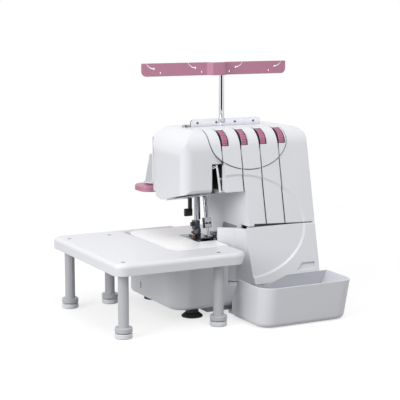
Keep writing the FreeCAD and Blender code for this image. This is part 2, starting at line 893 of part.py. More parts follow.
def needle_plate():
    """Needle plate with feed and needle openings, its screw, and the feed dogs under it."""
    right = "needle_plate_left + needle_plate_width"
    rear = f"{PLATE_SEAM} - seat_gap"
    through = ("bed_top - 2 * plate_thick", "bed_top + wall")
    plate = box(("needle_plate_left", right), ("needle_plate_front", rear), (PLATE_LOW, "bed_top"))
    soft = rounded(plate, ("seat_gap", on_top))
    feed = ("needle_y + 2 * free_gap", "needle_y + 2 * free_gap + feed_length")
    lefts = [f"feed_rows_left + {number} * feed_row_pitch" for number in range(3)]
    slots = [box((f"{left} - seat_gap", f"{left} + feed_row_width + seat_gap"),
                 (f"{feed[0]} - feed_travel - free_gap", f"{feed[1]} + feed_travel + free_gap"), through)
             for left in lefts]
    needle_slot = box(("needle_x - needle_spread", "needle_x + needle_spread"),
                      ("needle_y - 2 * free_gap", "needle_y + free_gap"), through)
    x, y = "needle_plate_left + 2 * wall", "needle_plate_front + 3 * wall"
    sink = rod("Z", (x, y), through, "table_screw_radius + seat_gap")
    node("needle_plate", cut(soft, needle_slot, sink, *slots))
    screw = rod("Z", (x, y), ("bed_top - 2 * plate_thick", "bed_top"), "table_screw_radius")
    node("needle_plate_screw", cut(screw, screw_slot(x, y, "bed_top", "table_screw_radius")))
    base = box((lefts[0], f"{lefts[2]} + feed_row_width"), feed,
               ("bed_top - 4 * plate_thick", "bed_top - 1.5 * plate_thick"))
    stem = box((lefts[1], f"{lefts[1]} + feed_row_width"), (f"{feed[1]} - wall", feed[1]),
               ("feed_stem_low", "bed_top - 3 * plate_thick"))
    node("feed_dogs", joined(base, stem, *[feed_row(left, feed) for left in lefts]))


def feed_row(left, feed):
    """One toothed row of the feed dogs."""
    bar = box((left, f"{left} + feed_row_width"), feed, ("bed_top - 2 * plate_thick", "bed_top"))
    count = 8
    step = f"feed_length / {count}"
    fronts = [f"{feed[0]} + {step} * {index}" for index in range(count)]
    gaps = [box((f"{left} - wall", f"{left} + feed_row_width + wall"), (front, f"{front} + {step} / 2"),
                ("bed_top - tooth_depth", "bed_top + wall")) for front in fronts]
    return cut(bar, *gaps)


def screw_slot(x, y, top, radius):
    """Driver slot across a screw head."""
    return box((f"{x} - {radius} - 1", f"{x} + {radius} + 1"),
               (f"{y} - driver_slot_width / 2", f"{y} + driver_slot_width / 2"),
               (f"{top} - driver_slot_depth", f"{top} + driver_slot_depth"))


def tilted(obj, height):
    """Turn a piece that stands on Z onto the leaning needle bar line, with its foot at a height."""
    angle = -math.degrees(math.atan(dims.needle_slope))
    turn = FreeCAD.Rotation(FreeCAD.Vector(1, 0, 0), angle)
    place(obj, "needle_x", f"needle_y + needle_slope * ({height} - bed_top)", height, turn)
    return obj


def tilted_rod(height, radius, span, shift="0"):
    obj = doc.addObject("Part::Cylinder", "needle_line")
    bind(obj, "Radius", radius)
    bind(obj, "Height", span)
    tilted(obj, height)
    bind(obj, "Placement.Base.x", f"needle_x + {shift} - {CENTRE[0]}")
    return obj


LEVER_LEFT = "needle_x - needle_bar_radius - seat_gap - lever_thick"
STUD_Z = "(guide_low + guide_height + stud_rise)"
STUD_Y = f"needle_y + needle_slope * ({STUD_Z} - bed_top)"
STEEP = "sqrt(1 + needle_slope * needle_slope)"
ARM_Y = f"{STUD_Y} + (needle_slope * needle_stroke / 2 + lever_length) / {STEEP}"
ARM_Z = f"{STUD_Z} + (needle_stroke / 2 - needle_slope * lever_length) / {STEEP}"


def lever_turn():
    """Turn of the lever at rest, from the Z axis onto the line from arm shaft to stud."""
    lean_angle = math.atan(dims.needle_slope)
    rest = math.atan(dims.needle_stroke / 2 / dims.lever_length)
    return FreeCAD.Rotation(FreeCAD.Vector(1, 0, 0), math.degrees(math.pi / 2 - lean_angle + rest))


def lever_bar(x, half_width, low, high):
    """Flat bar across the arm shaft's line, from low to high along the lever."""
    turn = lever_turn()
    side = turn.multVec(FreeCAD.Vector(0, -1, 0))
    ahead = turn.multVec(FreeCAD.Vector(0, 0, 1))
    bar = doc.addObject("Part::Box", "lever_bar")
    bind(bar, "Length", length(x))
    bind(bar, "Width", f"2 * ({half_width})")
    bind(bar, "Height", f"({high}) - ({low})")
    place(bar, x[0], f"{ARM_Y} + ({half_width}) * ({side.y}) + ({low}) * ({ahead.y})",
          f"{ARM_Z} + ({half_width}) * ({side.z}) + ({low}) * ({ahead.z})", turn)
    return bar


def arm_shaft():
    """Rocking shaft with a slotted lever that carries the needle bar's stud."""
    x = (LEVER_LEFT, f"{LEVER_LEFT} + lever_thick")
    longest = "sqrt(lever_length * lever_length + needle_stroke * needle_stroke / 4)"
    lever = lever_bar(x, "lever_width / 2", "0", f"{longest} + 2 * stud_pin_radius")
    room = "stud_pin_radius + 2 * seat_gap"
    slot = lever_bar((f"{x[0]} - 1", f"{x[1]} + 1"), room, f"lever_length - ({room})", f"{longest} + {room}")
    shaft = rod("X", (ARM_Y, ARM_Z), (LEVER_LEFT, "post_left + post_width + 2 * wall"), "arm_shaft_radius")
    hub = rod("X", (ARM_Y, ARM_Z), x, "arm_shaft_radius + wall")
    return joined(shaft, hub, cut(lever, slot))


def needle_works():
    """Needle bar, clamp, needles and screws, with the rocking lever that drives them."""
    seat = "clamp_low + clamp_height * 0.75"
    bar = tilted_rod(seat, "needle_bar_radius", f"{STUD_Z} + lever_length - ({seat})")
    stud = rod("X", (STUD_Y, STUD_Z), (f"{LEVER_LEFT} - free_gap", "needle_x"), "stud_pin_radius")
    node("needle_bar", joined(bar, stud))
    node("arm_shaft", arm_shaft())
    block = doc.addObject("Part::Box", "clamp")
    bind(block, "Length", "4 * needle_spread")
    bind(block, "Width", "3 * needle_spread")
    bind(block, "Height", "clamp_height")
    tilted(block, "clamp_low")
    bind(block, "Placement.Base.x", f"needle_x - 2 * needle_spread - {CENTRE[0]}")
    bind(block, "Placement.Base.y",
         f"needle_y + needle_slope * (clamp_low - bed_top) - 1.5 * needle_spread - {CENTRE[1]}")
    soft = rounded(block, ("seat_gap", lambda e, s: True))
    holes = [tilted_rod("clamp_low - 1", "needle_shank", "clamp_height * 0.7", f"{side} * needle_spread / 2")
             for side in (-1, 1)]
    screw_bores = [clamp_screw(side, "run_gap") for side in (-1, 1)]
    bar_bore = tilted_rod(seat, "needle_bar_radius + run_gap", "clamp_height")
    node("needle_clamp", cut(soft, bar_bore, *holes, *screw_bores))
    needles = []
    for side in (-1, 1):
        shift = f"{side} * needle_spread / 2"
        length = "clamp_low - bed_top + needle_below + 1"
        blade = tilted_rod("bed_top - needle_below", "needle_radius", length, shift)
        shank = tilted_rod("clamp_low", "needle_shank", "clamp_height * 0.6", shift)
        needles.append(joined(blade, shank))
    node("needles", group(needles))
    node("clamp_screws", group(clamp_screw(side, "0") for side in (-1, 1)))


def clamp_screw(side, gap):
    """One needle screw in the clamp's front, or its bore when a gap is given."""
    z = "clamp_low + clamp_height * 0.45"
    face = f"needle_y + needle_slope * ({z} - bed_top) - 1.5 * needle_spread"
    span = (f"{face} - clamp_screw_proud", f"{face} + clamp_screw_proud / 2 + {gap}")
    return rod("Y", (f"needle_x + {side} * needle_spread", z), span, f"clamp_screw_radius + {gap}")


def presser():
    """Presser bar, ankle, foot and screw, with the lifter behind them."""
    x, y = "presser_x", "presser_y"
    sole_low = "bed_top + seat_gap"
    sole_top = f"{sole_low} + foot_sole"
    heel_top = f"{sole_top} + 2 * wall"
    ankle_top = "clamp_low + clamp_height * 0.6"
    bar_low = f"{ankle_top} - 4 * wall"
    node("presser_bar", rod("Z", (x, y), (bar_low, "body_top - 6 * wall"), "presser_radius"))
    heel_x = (f"{x} - heel_half", f"{x} + heel_half")
    ankle = joined(
        box((f"{x} - ankle_half", f"{x} + ankle_half"), (f"{y} - ankle_half", f"{y} + ankle_half"),
            (f"{bar_low} - wall", ankle_top)),
        box(heel_x, (f"{y} - ankle_reach", f"{y} + ankle_half"), (heel_top, bar_low)))
    node("foot_ankle", cut(ankle, rod("Z", (x, y), (bar_low, "body_top"), "presser_radius")))
    left = f"{x} - toe_length + wall / 2"
    right = f"{left} + foot_width"
    front = "needle_plate_front + 2 * wall"
    rear = f"{front} + foot_length"
    sole = prism("YZ", (left, right), [
        (front, f"{sole_low} + toe_rise"),
        (f"{front} + toe_length", sole_low),
        (rear, sole_low),
        (rear, sole_top),
        (f"{front} + toe_length", sole_top),
        (front, f"{sole_top} + toe_rise"),
    ])
    needle_gap = box(("needle_x - needle_spread - free_gap", f"{right} + wall"),
                     ("needle_y - 2 * wall", "needle_y + 4 * wall"), ("bed_top", "clamp_low"))
    heel = box(heel_x, (f"{y} - ankle_reach", f"{y} + heel_half"), (sole_top, heel_top))
    node("presser_foot", joined(cut(sole, needle_gap), heel))
    head = (f"{x} - ankle_half - ankle_screw_length", f"{x} - ankle_half")
    node("ankle_screw", rod("X", (y, f"{ankle_top} - 2 * wall"), head, "ankle_screw_radius"))
    node("presser_lifter", presser_lifter())


def presser_lifter():
    """Hub on a pivot pin, with a stem down to a thumb paddle."""
    half = "lifter_stem / 2"
    stem_x = (f"lifter_x - {half}", f"lifter_x + {half}")
    thick = (f"lifter_y - {half}", f"lifter_y + {half}")
    low = "lifter_z - lifter_reach"
    return joined(
        rod("X", ("lifter_y", "lifter_z"), stem_x, "lifter_stem"),
        rod("X", ("lifter_y", "lifter_z"), ("lifter_x - lifter_stem - wall", "lifter_x + lifter_stem + wall"),
            "lifter_pin_radius"),
        box(stem_x, thick, (f"{low} + wall", "lifter_z")),
        box(("lifter_x - paddle_left", "lifter_x + paddle_right"), thick,
            (low, f"{low} + paddle_height")))


def pressure_screw():
    """Slotted screw in the head's top that sets the presser foot's pressure."""
    x, y = "pressure_screw_x", "pressure_screw_y"
    top = "body_top + 1.3 * wall"
    stem = rod("Z", (x, y), ("body_top - 3 * wall", top), "pressure_screw_radius")
    node("pressure_screw", cut(stem, screw_slot(x, y, top, "pressure_screw_radius")))


def loopers():
    """Upper and lower looper, each on its own rocking shaft along Y."""
    for number, name in enumerate(("upper_looper", "lower_looper")):
        x = f"looper_first_x + {number} * looper_pitch"
        y = f"looper_y - {number} * 2 * looper_shaft_radius"
        top = "looper_z + looper_reach"
        shaft = rod("Y", (x, "looper_z"), (y, "knife_rod_y"), "looper_shaft_radius")
        flat = (y, f"{y} + looper_shaft_radius")
        arm = box((f"{x} - looper_shaft_radius", f"{x} + looper_shaft_radius"), flat, ("looper_z", top))
        blade = prism("XZ", flat, [
            (f"{x} - {number + 1.2} * looper_pitch", f"{top} - 1"),
            (x, f"{top} - 2 * looper_shaft_radius"),
            (x, top),
        ])
        node(name, joined(shaft, arm, blade))


def knives():
    """Fixed lower knife at the needle plate's edge, and the upper knife on its guide rod."""
    left = "needle_plate_left + needle_plate_width"
    y = ("needle_y - 2 * wall", "needle_y + 2 * wall")
    node("lower_knife", box((left, f"{left} + knife_thick - seat_gap"), y, ("bed_top - 6 * wall", "bed_top")))
    x = f"{left} + knife_thick"
    blade = box((x, f"{x} + knife_thick"), y, ("bed_top - 4 * wall", "bed_top + 2 * wall"))
    arm = box((x, "knife_rod_x + 2 * knife_rod_radius"),
              ("needle_y + wall", "knife_rod_y + 2 * knife_rod_radius"),
              ("bed_top + wall", "bed_top + 3 * wall"))
    guide_span = ("looper_z + 8 * wall", "bed_top + 2 * wall")
    guide = rod("Z", ("knife_rod_x", "knife_rod_y"), guide_span, "knife_rod_radius")
    node("upper_knife", joined(blade, arm, guide))


def machine_frame():
    """Cast frame: floor, shaft bearings, post, arm, and the guides in the head."""
    solids = frame_base() + frame_head() + tension_ears()
    bores = [
        rod("X", ("shaft_y", "shaft_z"), ("bed_left", "body_right"), "shaft_radius + run_gap"),
        rod("X", (ARM_Y, ARM_Z), (LEVER_LEFT, "body_right"), "arm_shaft_radius + run_gap"),
        rod("X", ("lifter_y", "lifter_z"), ("head_left", "column_left"), "lifter_pin_radius + run_gap"),
        rod("X", TENSION_AXIS, ("head_left", "body_right"), "axle_radius"),
        rod("Z", ("presser_x", "presser_y"), ("bed_top", "body_top"), "presser_radius + run_gap"),
        rod("Z", ("knife_rod_x", "knife_rod_y"), ("looper_z", "bed_top"), "knife_rod_radius + run_gap"),
        tilted_rod("clamp_low", "needle_bar_radius + run_gap", "body_top - clamp_low"),
    ]
    looper_span = ("looper_y", "knife_rod_y + wall")
    for number in range(2):
        across = (f"looper_first_x + {number} * looper_pitch", "looper_z")
        bores.append(rod("Y", across, looper_span, "looper_shaft_radius + run_gap"))
    node("machine_frame", cut(joined(*solids), *bores))


POST = ("post_left", "post_left + post_width")
POST_REAR = "post_front + post_depth"
BEAM_TOP = f"{ARM_Z} + 3 * wall"


def frame_base():
    """Floor plate, shaft bearings, post, motor bracket, and the block that holds loopers and knife."""
    floor = "bed_floor + wall"
    bearing_y = ("shaft_y - 4 * wall", "shaft_y + 4 * wall")
    bracket = ("post_left + wall", "post_left + post_width")
    half = "motor_radius / 2"
    loopers_x = ("looper_first_x - 3 * wall", "looper_first_x + looper_pitch + 3 * wall")
    knife_x = ("knife_rod_x - 2 * wall", "knife_rod_x + 2 * wall")
    knife_y = ("knife_rod_y - 2 * wall", "knife_rod_y + 2 * wall")
    return [
        box(("bed_left + 5 * wall", "motor_left + motor_length"), ("looper_y", "bed_rear - 4 * wall"),
            (floor, f"{floor} + 2 * wall")),
        box(("bed_left + 8 * wall", "bed_left + 11 * wall"), bearing_y, (floor, "shaft_z + 4 * wall")),
        box(POST, (bearing_y[0], POST_REAR), (floor, "shaft_z + 5 * wall")),
        box(POST, ("post_front", POST_REAR), (floor, BEAM_TOP)),
        box(loopers_x, ("looper_y + 3 * wall", knife_y[1]), (floor, "looper_z + 3 * wall")),
        box(knife_x, knife_y, ("looper_z", "bed_top - 8 * wall")),
        rod("X", ("motor_y", "motor_z"), (bracket[0], "motor_left"), half),
        box(bracket, (f"motor_y - {half}", f"motor_y + {half}"), (floor, "motor_z")),
    ]


def frame_head():
    """Arm beam, guide block for both bars, its back wall, and the lifter's ears."""
    guide_z = ("guide_low", "guide_low + guide_height")
    beam_left = f"{LEVER_LEFT} + 4 * wall"
    head = ("recess_left - 2 * wall", "lifter_x + lifter_stem + wall")
    back = ("lifter_y - lifter_stem - 2 * wall", "lifter_y - lifter_stem - free_gap")
    solids = [
        box((beam_left, POST[1]), ("post_front + 3 * wall", f"{ARM_Y} + 4 * wall"),
            (f"{ARM_Z} - 3 * wall", BEAM_TOP)),
        box(head, ("presser_y - 3 * wall", back[1]), guide_z),
        box((beam_left, head[1]), back, (guide_z[0], BEAM_TOP)),
    ]
    for side in ("lifter_x - lifter_stem - wall", "lifter_x + lifter_stem"):
        solids.append(box((side, f"{side} + wall"), (back[0], "lifter_y + 2 * wall"),
                          ("lifter_z - 2 * wall", guide_z[1])))
    return solids


def tension_ears():
    """Two ears that carry the tension axle, on a bar along the arm beam."""
    axis_y, axis_z = TENSION_AXIS
    rear = f"{ARM_Y} + 2 * wall"
    top = f"{axis_z} + 2 * wall"
    lefts = (f"{slot_x(1)} - 4 * wall", f"{dial_span(3)[1]} + wall")
    ears = [box((left, f"{left} + wall"), (f"{axis_y} - 2 * wall", rear), (f"{axis_z} - 2 * wall", top))
            for left in lefts]
    bar = box((lefts[0], f"{lefts[1]} + wall"), (f"{ARM_Y} - wall", rear), (f"{ARM_Z} - wall", top))
    return ears + [bar]


def table():
    """Extension table with legs, screws and levelling feet."""
    notch_left = "bed_left - table_gap"
    notch_front = "bed_front - table_gap"
    notch_rear = "bed_rear + table_gap"
    z = ("bed_top - table_thick", "bed_top")
    board = prism("XY", z, [
        ("0", "table_front"),
        ("table_length", "table_front"),
        ("table_length", notch_front),
        (notch_left, notch_front),
        (notch_left, notch_rear),
        ("table_length", notch_rear),
        ("table_length", TABLE_REAR),
        ("0", TABLE_REAR),
    ], [(0, "table_corner"), (1, "table_corner + 4"), (7, "table_corner"), (3, "2 * wall"), (4, "2 * wall")])
    slope = prism("XZ", ("table_front - wall", f"{notch_front} + wall"), [
        ("table_length - table_end_draft", z[0]),
        ("table_length + wall", f"{z[0]} + table_thick * (table_end_draft + wall) / table_end_draft"),
        ("table_length + wall", z[0]),
    ])
    soft = cut(rounded(board, ("table_edge", lambda e, s: on_top(e, s) and on_outline(e, s))), slope)
    leg_rear = f"{TABLE_REAR} - leg_rear_inset"
    spots = (("leg_inset_x", "leg_front_y", "front_left"), ("leg_front_right", "leg_front_y", "front_right"),
             ("leg_inset_x", leg_rear, "rear_left"), ("leg_rear_right", leg_rear, "rear_right"))
    sink_low = "bed_top - table_screw_sink"
    screw_top = "bed_top + table_screw_proud"
    sinks = [rod("Z", (x, y), (sink_low, "bed_top + wall"), "table_screw_radius + seat_gap")
             for x, y, name in spots]
    node("table_board", cut(soft, *sinks))
    screws = [cut(rod("Z", (x, y), (sink_low, screw_top), "table_screw_radius"),
                  screw_slot(x, y, screw_top, "table_screw_radius")) for x, y, name in spots]
    node("table_screws", group(screws))
    node("table_legs", group(table_leg(x, y) for x, y, name in spots))
    for x, y, name in spots:
        node("table_foot_" + name, turned("Z", (x, y), "0", [
            ("0", "0"),
            ("collar_radius - edge_break", "0"),
            ("collar_radius", "edge_break"),
            ("collar_radius", "foot_height - edge_break"),
            ("collar_radius - edge_break", "foot_height"),
            ("stud_radius", "foot_height"),
            ("stud_radius", "foot_height + stud_length"),
            ("0", "foot_height + stud_length"),
        ]))


def table_leg(x, y):
    leg_low = "foot_height + seat_gap * 3"
    return turned("Z", (x, y), leg_low, [
        ("stud_radius + run_gap", "0"),
        ("collar_radius - edge_break", "0"),
        ("collar_radius", "edge_break"),
        ("collar_radius", "collar_height - edge_break"),
        ("collar_radius - edge_break", "collar_height"),
        ("leg_radius", "collar_height"),
        ("leg_radius", f"bed_top - table_thick - ({leg_low})"),
        ("0", f"bed_top - table_thick - ({leg_low})"),
        ("0", "stud_length + wall"),
        ("stud_radius + run_gap", "stud_length + wall"),
    ])


def waste_bin():
    """Open bin with drafted walls and a dipped rear rim."""
    outer = bin_form("0")
    inner = bin_form("bin_wall")
    dip = prism("XZ", ("bin_rear_top - 5 * wall", "bin_rear_bottom + wall"), [
        ("bin_left + 2 * bin_wall", "bin_dip"),
        ("bin_dip_end", "bin_dip"),
        ("bin_dip_end + bin_dip_run", "bin_top + wall"),
        ("bin_left + 2 * bin_wall", "bin_top + wall"),
    ], [(1, "8 * wall")])
    tab = box(("bin_left + bin_edge", "bin_left + bin_edge + bin_tab"),
              ("bin_rear_bottom - bin_edge", "suction_front - 2 * wall - seat_gap"),
              ("bin_low", "bin_low + bin_tab_height"))
    node("waste_bin", joined(cut(outer, inner, dip), tab))


def bin_form(inset):
    """Bin's outer form, or its inside when inset by a wall."""
    low = f"bin_low + ({inset})"
    top = f"bin_top + 2 * ({inset})"
    rise = "(bin_top - bin_low)"
    knee_rise = "(bin_top - bin_knee)"
    face = prism("XZ", ("0", "bin_rear_bottom"), [
        (f"bin_left + ({inset})", low),
        (f"{BIN_RIGHT} - bin_right_draft - ({inset})", low),
        (f"{BIN_RIGHT} - ({inset}) + bin_right_draft * 2 * ({inset}) / {rise}", top),
        (f"bin_left + ({inset})", top),
    ])
    side = prism("YZ", (f"bin_left + ({inset})", f"{BIN_RIGHT} + bin_wall"), [
        (f"bin_front_draft + ({inset})", low),
        (f"bin_rear_bottom - ({inset})", low),
        (f"bin_rear_bottom - ({inset})", "bin_knee"),
        (f"bin_rear_top - ({inset}) - (bin_rear_bottom - bin_rear_top) * 2 * ({inset}) / {knee_rise}", top),
        (f"({inset}) + 0.001", top),
    ])
    solid = shared(face, side)
    return rounded(solid, ("bin_corner", lambda e, s: e.ZLength > s.ZLength - 0.1 and e.YMax < s.Center.y),
                   ("bin_edge", on_bottom))


def drive():
    """Main shaft with handwheel and pulley, motor, and the belt between them."""
    shaft = ("shaft_y", "shaft_z")
    shaft_span = ("bed_left + 5 * wall", "body_right + handwheel_width * 0.8")
    node("main_shaft", rod("X", shaft, shaft_span, "shaft_radius"))
    node("handwheel", turned("X", shaft, "body_right + free_gap", [
        ("shaft_radius", "0"),
        ("handwheel_radius - handwheel_rim", "0"),
        ("handwheel_radius", "handwheel_rim"),
        ("handwheel_radius", "handwheel_width - handwheel_bevel"),
        ("handwheel_radius - handwheel_bevel", "handwheel_width"),
        ("handwheel_radius - handwheel_bevel - handwheel_lip", "handwheel_width"),
        ("handwheel_radius - 2 * handwheel_bevel - handwheel_lip", "handwheel_width - handwheel_dish"),
        ("shaft_radius", "handwheel_width - handwheel_dish"),
    ]))
    pulley_span = (PULLEY_LEFT, f"{PULLEY_LEFT} + pulley_width")
    node("shaft_pulley", cut(rod("X", shaft, pulley_span, "shaft_pulley_radius"),
                             rod("X", shaft, pulley_span, "shaft_radius")))
    motor = ("motor_y", "motor_z")
    motor_right = "motor_left + motor_length"
    case = joined(rod("X", motor, ("motor_left", motor_right), "motor_radius"),
                  rod("X", motor, ("motor_left + wall", f"{motor_right} + motor_boss"),
                      "3 * motor_shaft_radius"))
    bore = rod("X", motor, ("motor_left + 2 * wall", PULLEY_LEFT), "motor_shaft_radius + run_gap")
    node("drive_motor", cut(case, bore))
    rotor_span = ("motor_left + 4 * wall", pulley_span[1])
    node("motor_pulley", joined(rod("X", motor, rotor_span, "motor_shaft_radius"),
                                rod("X", motor, pulley_span, "motor_pulley_radius")))
    node("drive_belt", belt())


def belt():
    """Flat loop round both pulleys: two arcs and two tangent runs."""
    solids = []
    for gap in (dims.seat_gap + dims.belt_thick, dims.seat_gap):
        solids.append(belt_hull(dims.shaft_pulley_radius + gap, dims.motor_pulley_radius + gap))
    loop = solids[0].cut(solids[1])
    obj = doc.addObject("Part::Feature", "belt")
    obj.Shape = loop
    place(obj, f"{PULLEY_LEFT} + edge_break", "shaft_y", "shaft_z")
    return obj


def belt_hull(big, small):
    """Solid round two circles in the YZ plane, the large one at the origin."""
    run_y = dims.motor_y - dims.shaft_y
    run_z = dims.motor_z - dims.shaft_z
    far = math.hypot(run_y, run_z)
    heading = math.atan2(run_z, run_y)
    spread = math.acos((big - small) / far)

    def point(radius, angle, centre):
        return FreeCAD.Vector(0, centre[0] + radius * math.cos(angle), centre[1] + radius * math.sin(angle))

    here, there = (0, 0), (run_y, run_z)
    first, last = heading + spread, heading - spread
    edges = [
        Part.Arc(point(big, first, here), point(big, heading + math.pi, here), point(big, last, here)),
        Part.LineSegment(point(big, last, here), point(small, last, there)),
        Part.Arc(point(small, last, there), point(small, heading, there), point(small, first, there)),
        Part.LineSegment(point(small, first, there), point(big, first, here)),
    ]
    loop = Part.Wire([edge.toShape() for edge in edges])
    return Part.Face(loop).extrude(FreeCAD.Vector(dims.pulley_width - 2 * dims.edge_break, 0, 0))


def tension_works():
    """Axle, bracket, discs and the four thumb dials."""
    node("tension_axle", rod("X", TENSION_AXIS, ("slot_first - 4 * wall", slot_x(4)), "axle_radius"))
    for number in range(4):
        rim = rod("X", TENSION_AXIS, dial_span(number), "dial_radius")
        bore = rod("X", TENSION_AXIS, dial_span(number), "axle_radius + run_gap")
        node(f"tension_dial_{number + 1}", cut(rim, bore))
    discs = []
    for number in range(4):
        for side in (-1, 1):
            start = f"{slot_x(number)} + {side} * slot_width / 2 - disc_thick / 2"
            span = (start, f"{start} + disc_thick")
            discs.append(cut(rod("X", TENSION_AXIS, span, "disc_radius"),
                             rod("X", TENSION_AXIS, span, "axle_radius")))
    node("tension_discs", group(discs))


def thread_stand():
    """Spool tray, pins, cone holders, telescopic pole and guide bar."""
    tray = prism("XY", ("tray_z", "tray_z + tray_thick"), [
        ("tray_left", "tray_front"),
        ("tray_left + tray_length", "tray_front"),
        ("tray_left + tray_length", "tray_front + tray_depth"),
        ("tray_left", "tray_front + tray_depth"),
    ], [(index, "tray_corner") for index in range(4)])
    soft = rounded(tray, ("wall", on_top))
    tongue = box(("column_left", "body_right - side_round"), ("body_rear", "tray_front + wall"),
                 ("tray_z", "tray_z + tray_thick - wall"))
    node("spool_tray", joined(soft, tongue))
    top = "tray_z + tray_thick"
    pins = []
    cones = []
    for number in range(4):
        spot = (f"pin_first + {number} * pin_pitch", "pin_y")
        pins.append(turned("Z", spot, top, [
            ("0", "0"),
            ("3 * pin_radius", "0"),
            ("3 * pin_radius", "pin_flange"),
            ("pin_radius", "pin_flange + edge_break"),
            ("pin_radius", f"pin_top - ({top}) - pin_tip"),
            ("pin_radius - pin_tip", f"pin_top - ({top})"),
            ("0", f"pin_top - ({top})"),
        ]))
        cones.append(cone_holder(spot, f"{top} + pin_flange + edge_break + seat_gap"))
    node("spool_pins", group(pins))
    node("cone_holders", group(cones))
    pole = ("pole_x", "pole_y")
    sleeve = "pole_radius + run_gap"
    node("pole_lower", cut(rod("Z", pole, (top, "pole_lower_top"), f"{sleeve} + pole_wall"),
                           rod("Z", pole, (f"{top} + wall", "pole_lower_top + wall"), sleeve)))
    upper = ("pole_upper_low", "bar_low + bar_height - 2 * wall")
    node("pole_upper", cut(rod("Z", pole, upper, "pole_radius"),
                           rod("Z", pole, ("pole_upper_low - wall", "bar_low"), "pole_radius - pole_wall")))
    node("guide_bar", guide_bar())


def cone_holder(spot, low):
    """Tapered spool holder of six fins round a sleeve."""
    x, y = spot
    sleeve = turned("Z", spot, low, [
        ("pin_radius + seat_gap", "0"),
        ("cone_radius", "0"),
        ("cone_radius", "cone_base"),
        ("pin_radius + cone_sleeve", "cone_base + edge_break"),
        ("pin_radius + cone_sleeve", "cone_height"),
        ("pin_radius + seat_gap", "cone_height"),
    ])
    taper = turned("Z", spot, low, [
        ("pin_radius + cone_sleeve / 2", "edge_break"),
        ("cone_radius", "edge_break"),
        ("cone_tip_radius", "cone_height"),
        ("pin_radius + cone_sleeve / 2", "cone_height"),
    ])
    fins = []
    for index in range(3):
        turn = FreeCAD.Rotation(FreeCAD.Vector(0, 0, 1), 60 * index)
        corner = turn.multVec(FreeCAD.Vector(-1, 0, 0))
        side = turn.multVec(FreeCAD.Vector(0, -1, 0))
        fin = doc.addObject("Part::Box", "fin")
        bind(fin, "Length", "2 * cone_radius")
        bind(fin, "Width", "fin_thick")
        bind(fin, "Height", "cone_height")
        place(fin, f"{x} + cone_radius * ({corner.x}) + fin_thick / 2 * ({side.x})",
              f"{y} + cone_radius * ({corner.y}) + fin_thick / 2 * ({side.y})", low, turn)
        fins.append(fin)
    return joined(sleeve, shared(taper, joined(*fins)))


def guide_bar():
    """Flat bar with four thread slits and four eyes, on a hub that caps the pole."""
    z = ("bar_low", "bar_low + bar_height")
    plate = prism("XZ", ("pole_y - bar_thick / 2", "pole_y + bar_thick / 2"), [
        ("bar_left", z[0]),
        ("bar_right", z[0]),
        ("bar_right", z[1]),
        ("bar_left", z[1]),
    ], [(0, "3 * wall"), (1, "3 * wall")])
    hub = rod("Z", ("pole_x", "pole_y"), z, "bar_hub_radius")
    bore = rod("Z", ("pole_x", "pole_y"), (f"{z[0]} - wall", f"{z[1]} - 2 * wall"), "pole_radius + run_gap")
    y = ("pole_y - bar_thick", "pole_y + bar_thick")
    cuts = [bore]
    low = f"{z[0]} + slit_low"
    for number in range(4):
        x = f"slit_first + {number} * slit_pitch"
        eye_side = "+" if number < 2 else "-"
        cuts.append(thread_slit(x, low, y, number < 2))
        cuts.append(rod("Y", (x, low), y, "slit_eye_radius"))
        cuts.append(rod("Y", (f"{x} {eye_side} eye_shift", f"{low} - eye_drop"), y, "eye_radius"))
    return cut(joined(plate, hub), *cuts)


def thread_slit(x, low, y, to_left):
    """Hooked slit that rises from its eye to one side, through the bar's top edge."""
    centre = (x, f"{low} + slit_reach")
    ring = cut(rod("Y", centre, y, "slit_reach + slit_half"), rod("Y", centre, y, "slit_reach - slit_half"))
    side = (f"{x} - 2 * slit_reach", x) if to_left else (x, f"{x} + 2 * slit_reach")
    return shared(ring, box(side, y, (f"{low} - wall", f"{low} + slit_reach")))


def clear_guide():
    """Clear upright plate with four thread holes on the top."""
    z = ("body_top", "body_top + clear_height")
    plate = prism("XZ", ("clear_y", "clear_y + clear_thick"), [
        ("clear_left", z[0]),
        ("clear_left + clear_length", z[0]),
        ("clear_left + clear_length", z[1]),
        ("clear_left", z[1]),
    ], [(2, "2 * wall"), (3, "2 * wall")])
    holes = [rod("Y", (f"{slot_x(number)} - wall", "body_top + clear_height / 2"),
                 ("clear_y - wall", "clear_y + clear_thick + wall"), "clear_hole_radius")
             for number in range(4)]
    node("clear_guide", cut(plate, *holes))


def side_controls():
    """Dials, rocker and inlet on the right side."""
    for name, z in (("stitch_length_dial", "stitch_dial_z"), ("differential_dial", "differential_dial_z")):
        node(name, turned("X", ("side_dial_y", z), "body_right - 2 * wall", [
            ("0", "0"),
            ("axle_radius", "0"),
            ("axle_radius", "2 * wall + seat_gap"),
            ("side_dial_radius", "2 * wall + seat_gap"),
            ("side_dial_radius", "2 * wall + side_dial_height - edge_break"),
            ("side_dial_radius - edge_break", "2 * wall + side_dial_height"),
            ("0", "2 * wall + side_dial_height"),
        ]))
    y = ("inlet_y", "inlet_y + inlet_width")
    pivot = rod("Y", SWITCH_AXIS, inside(y, "-wall"), "pivot_radius")
    key = box(("body_right - 2 * wall", "body_right + wall / 2"), inside(y, "2 * seat_gap"),
              inside(("switch_z", "switch_z + switch_height"), "3 * seat_gap"))
    node("power_rocker", joined(pivot, key))
    node("mains_inlet", mains_inlet(y, ("inlet_z", "inlet_z + inlet_height")))


def inside(span, gap):
    """Span drawn in by a gap at both ends."""
    return f"{span[0]} + {gap}", f"{span[1]} - {gap}"


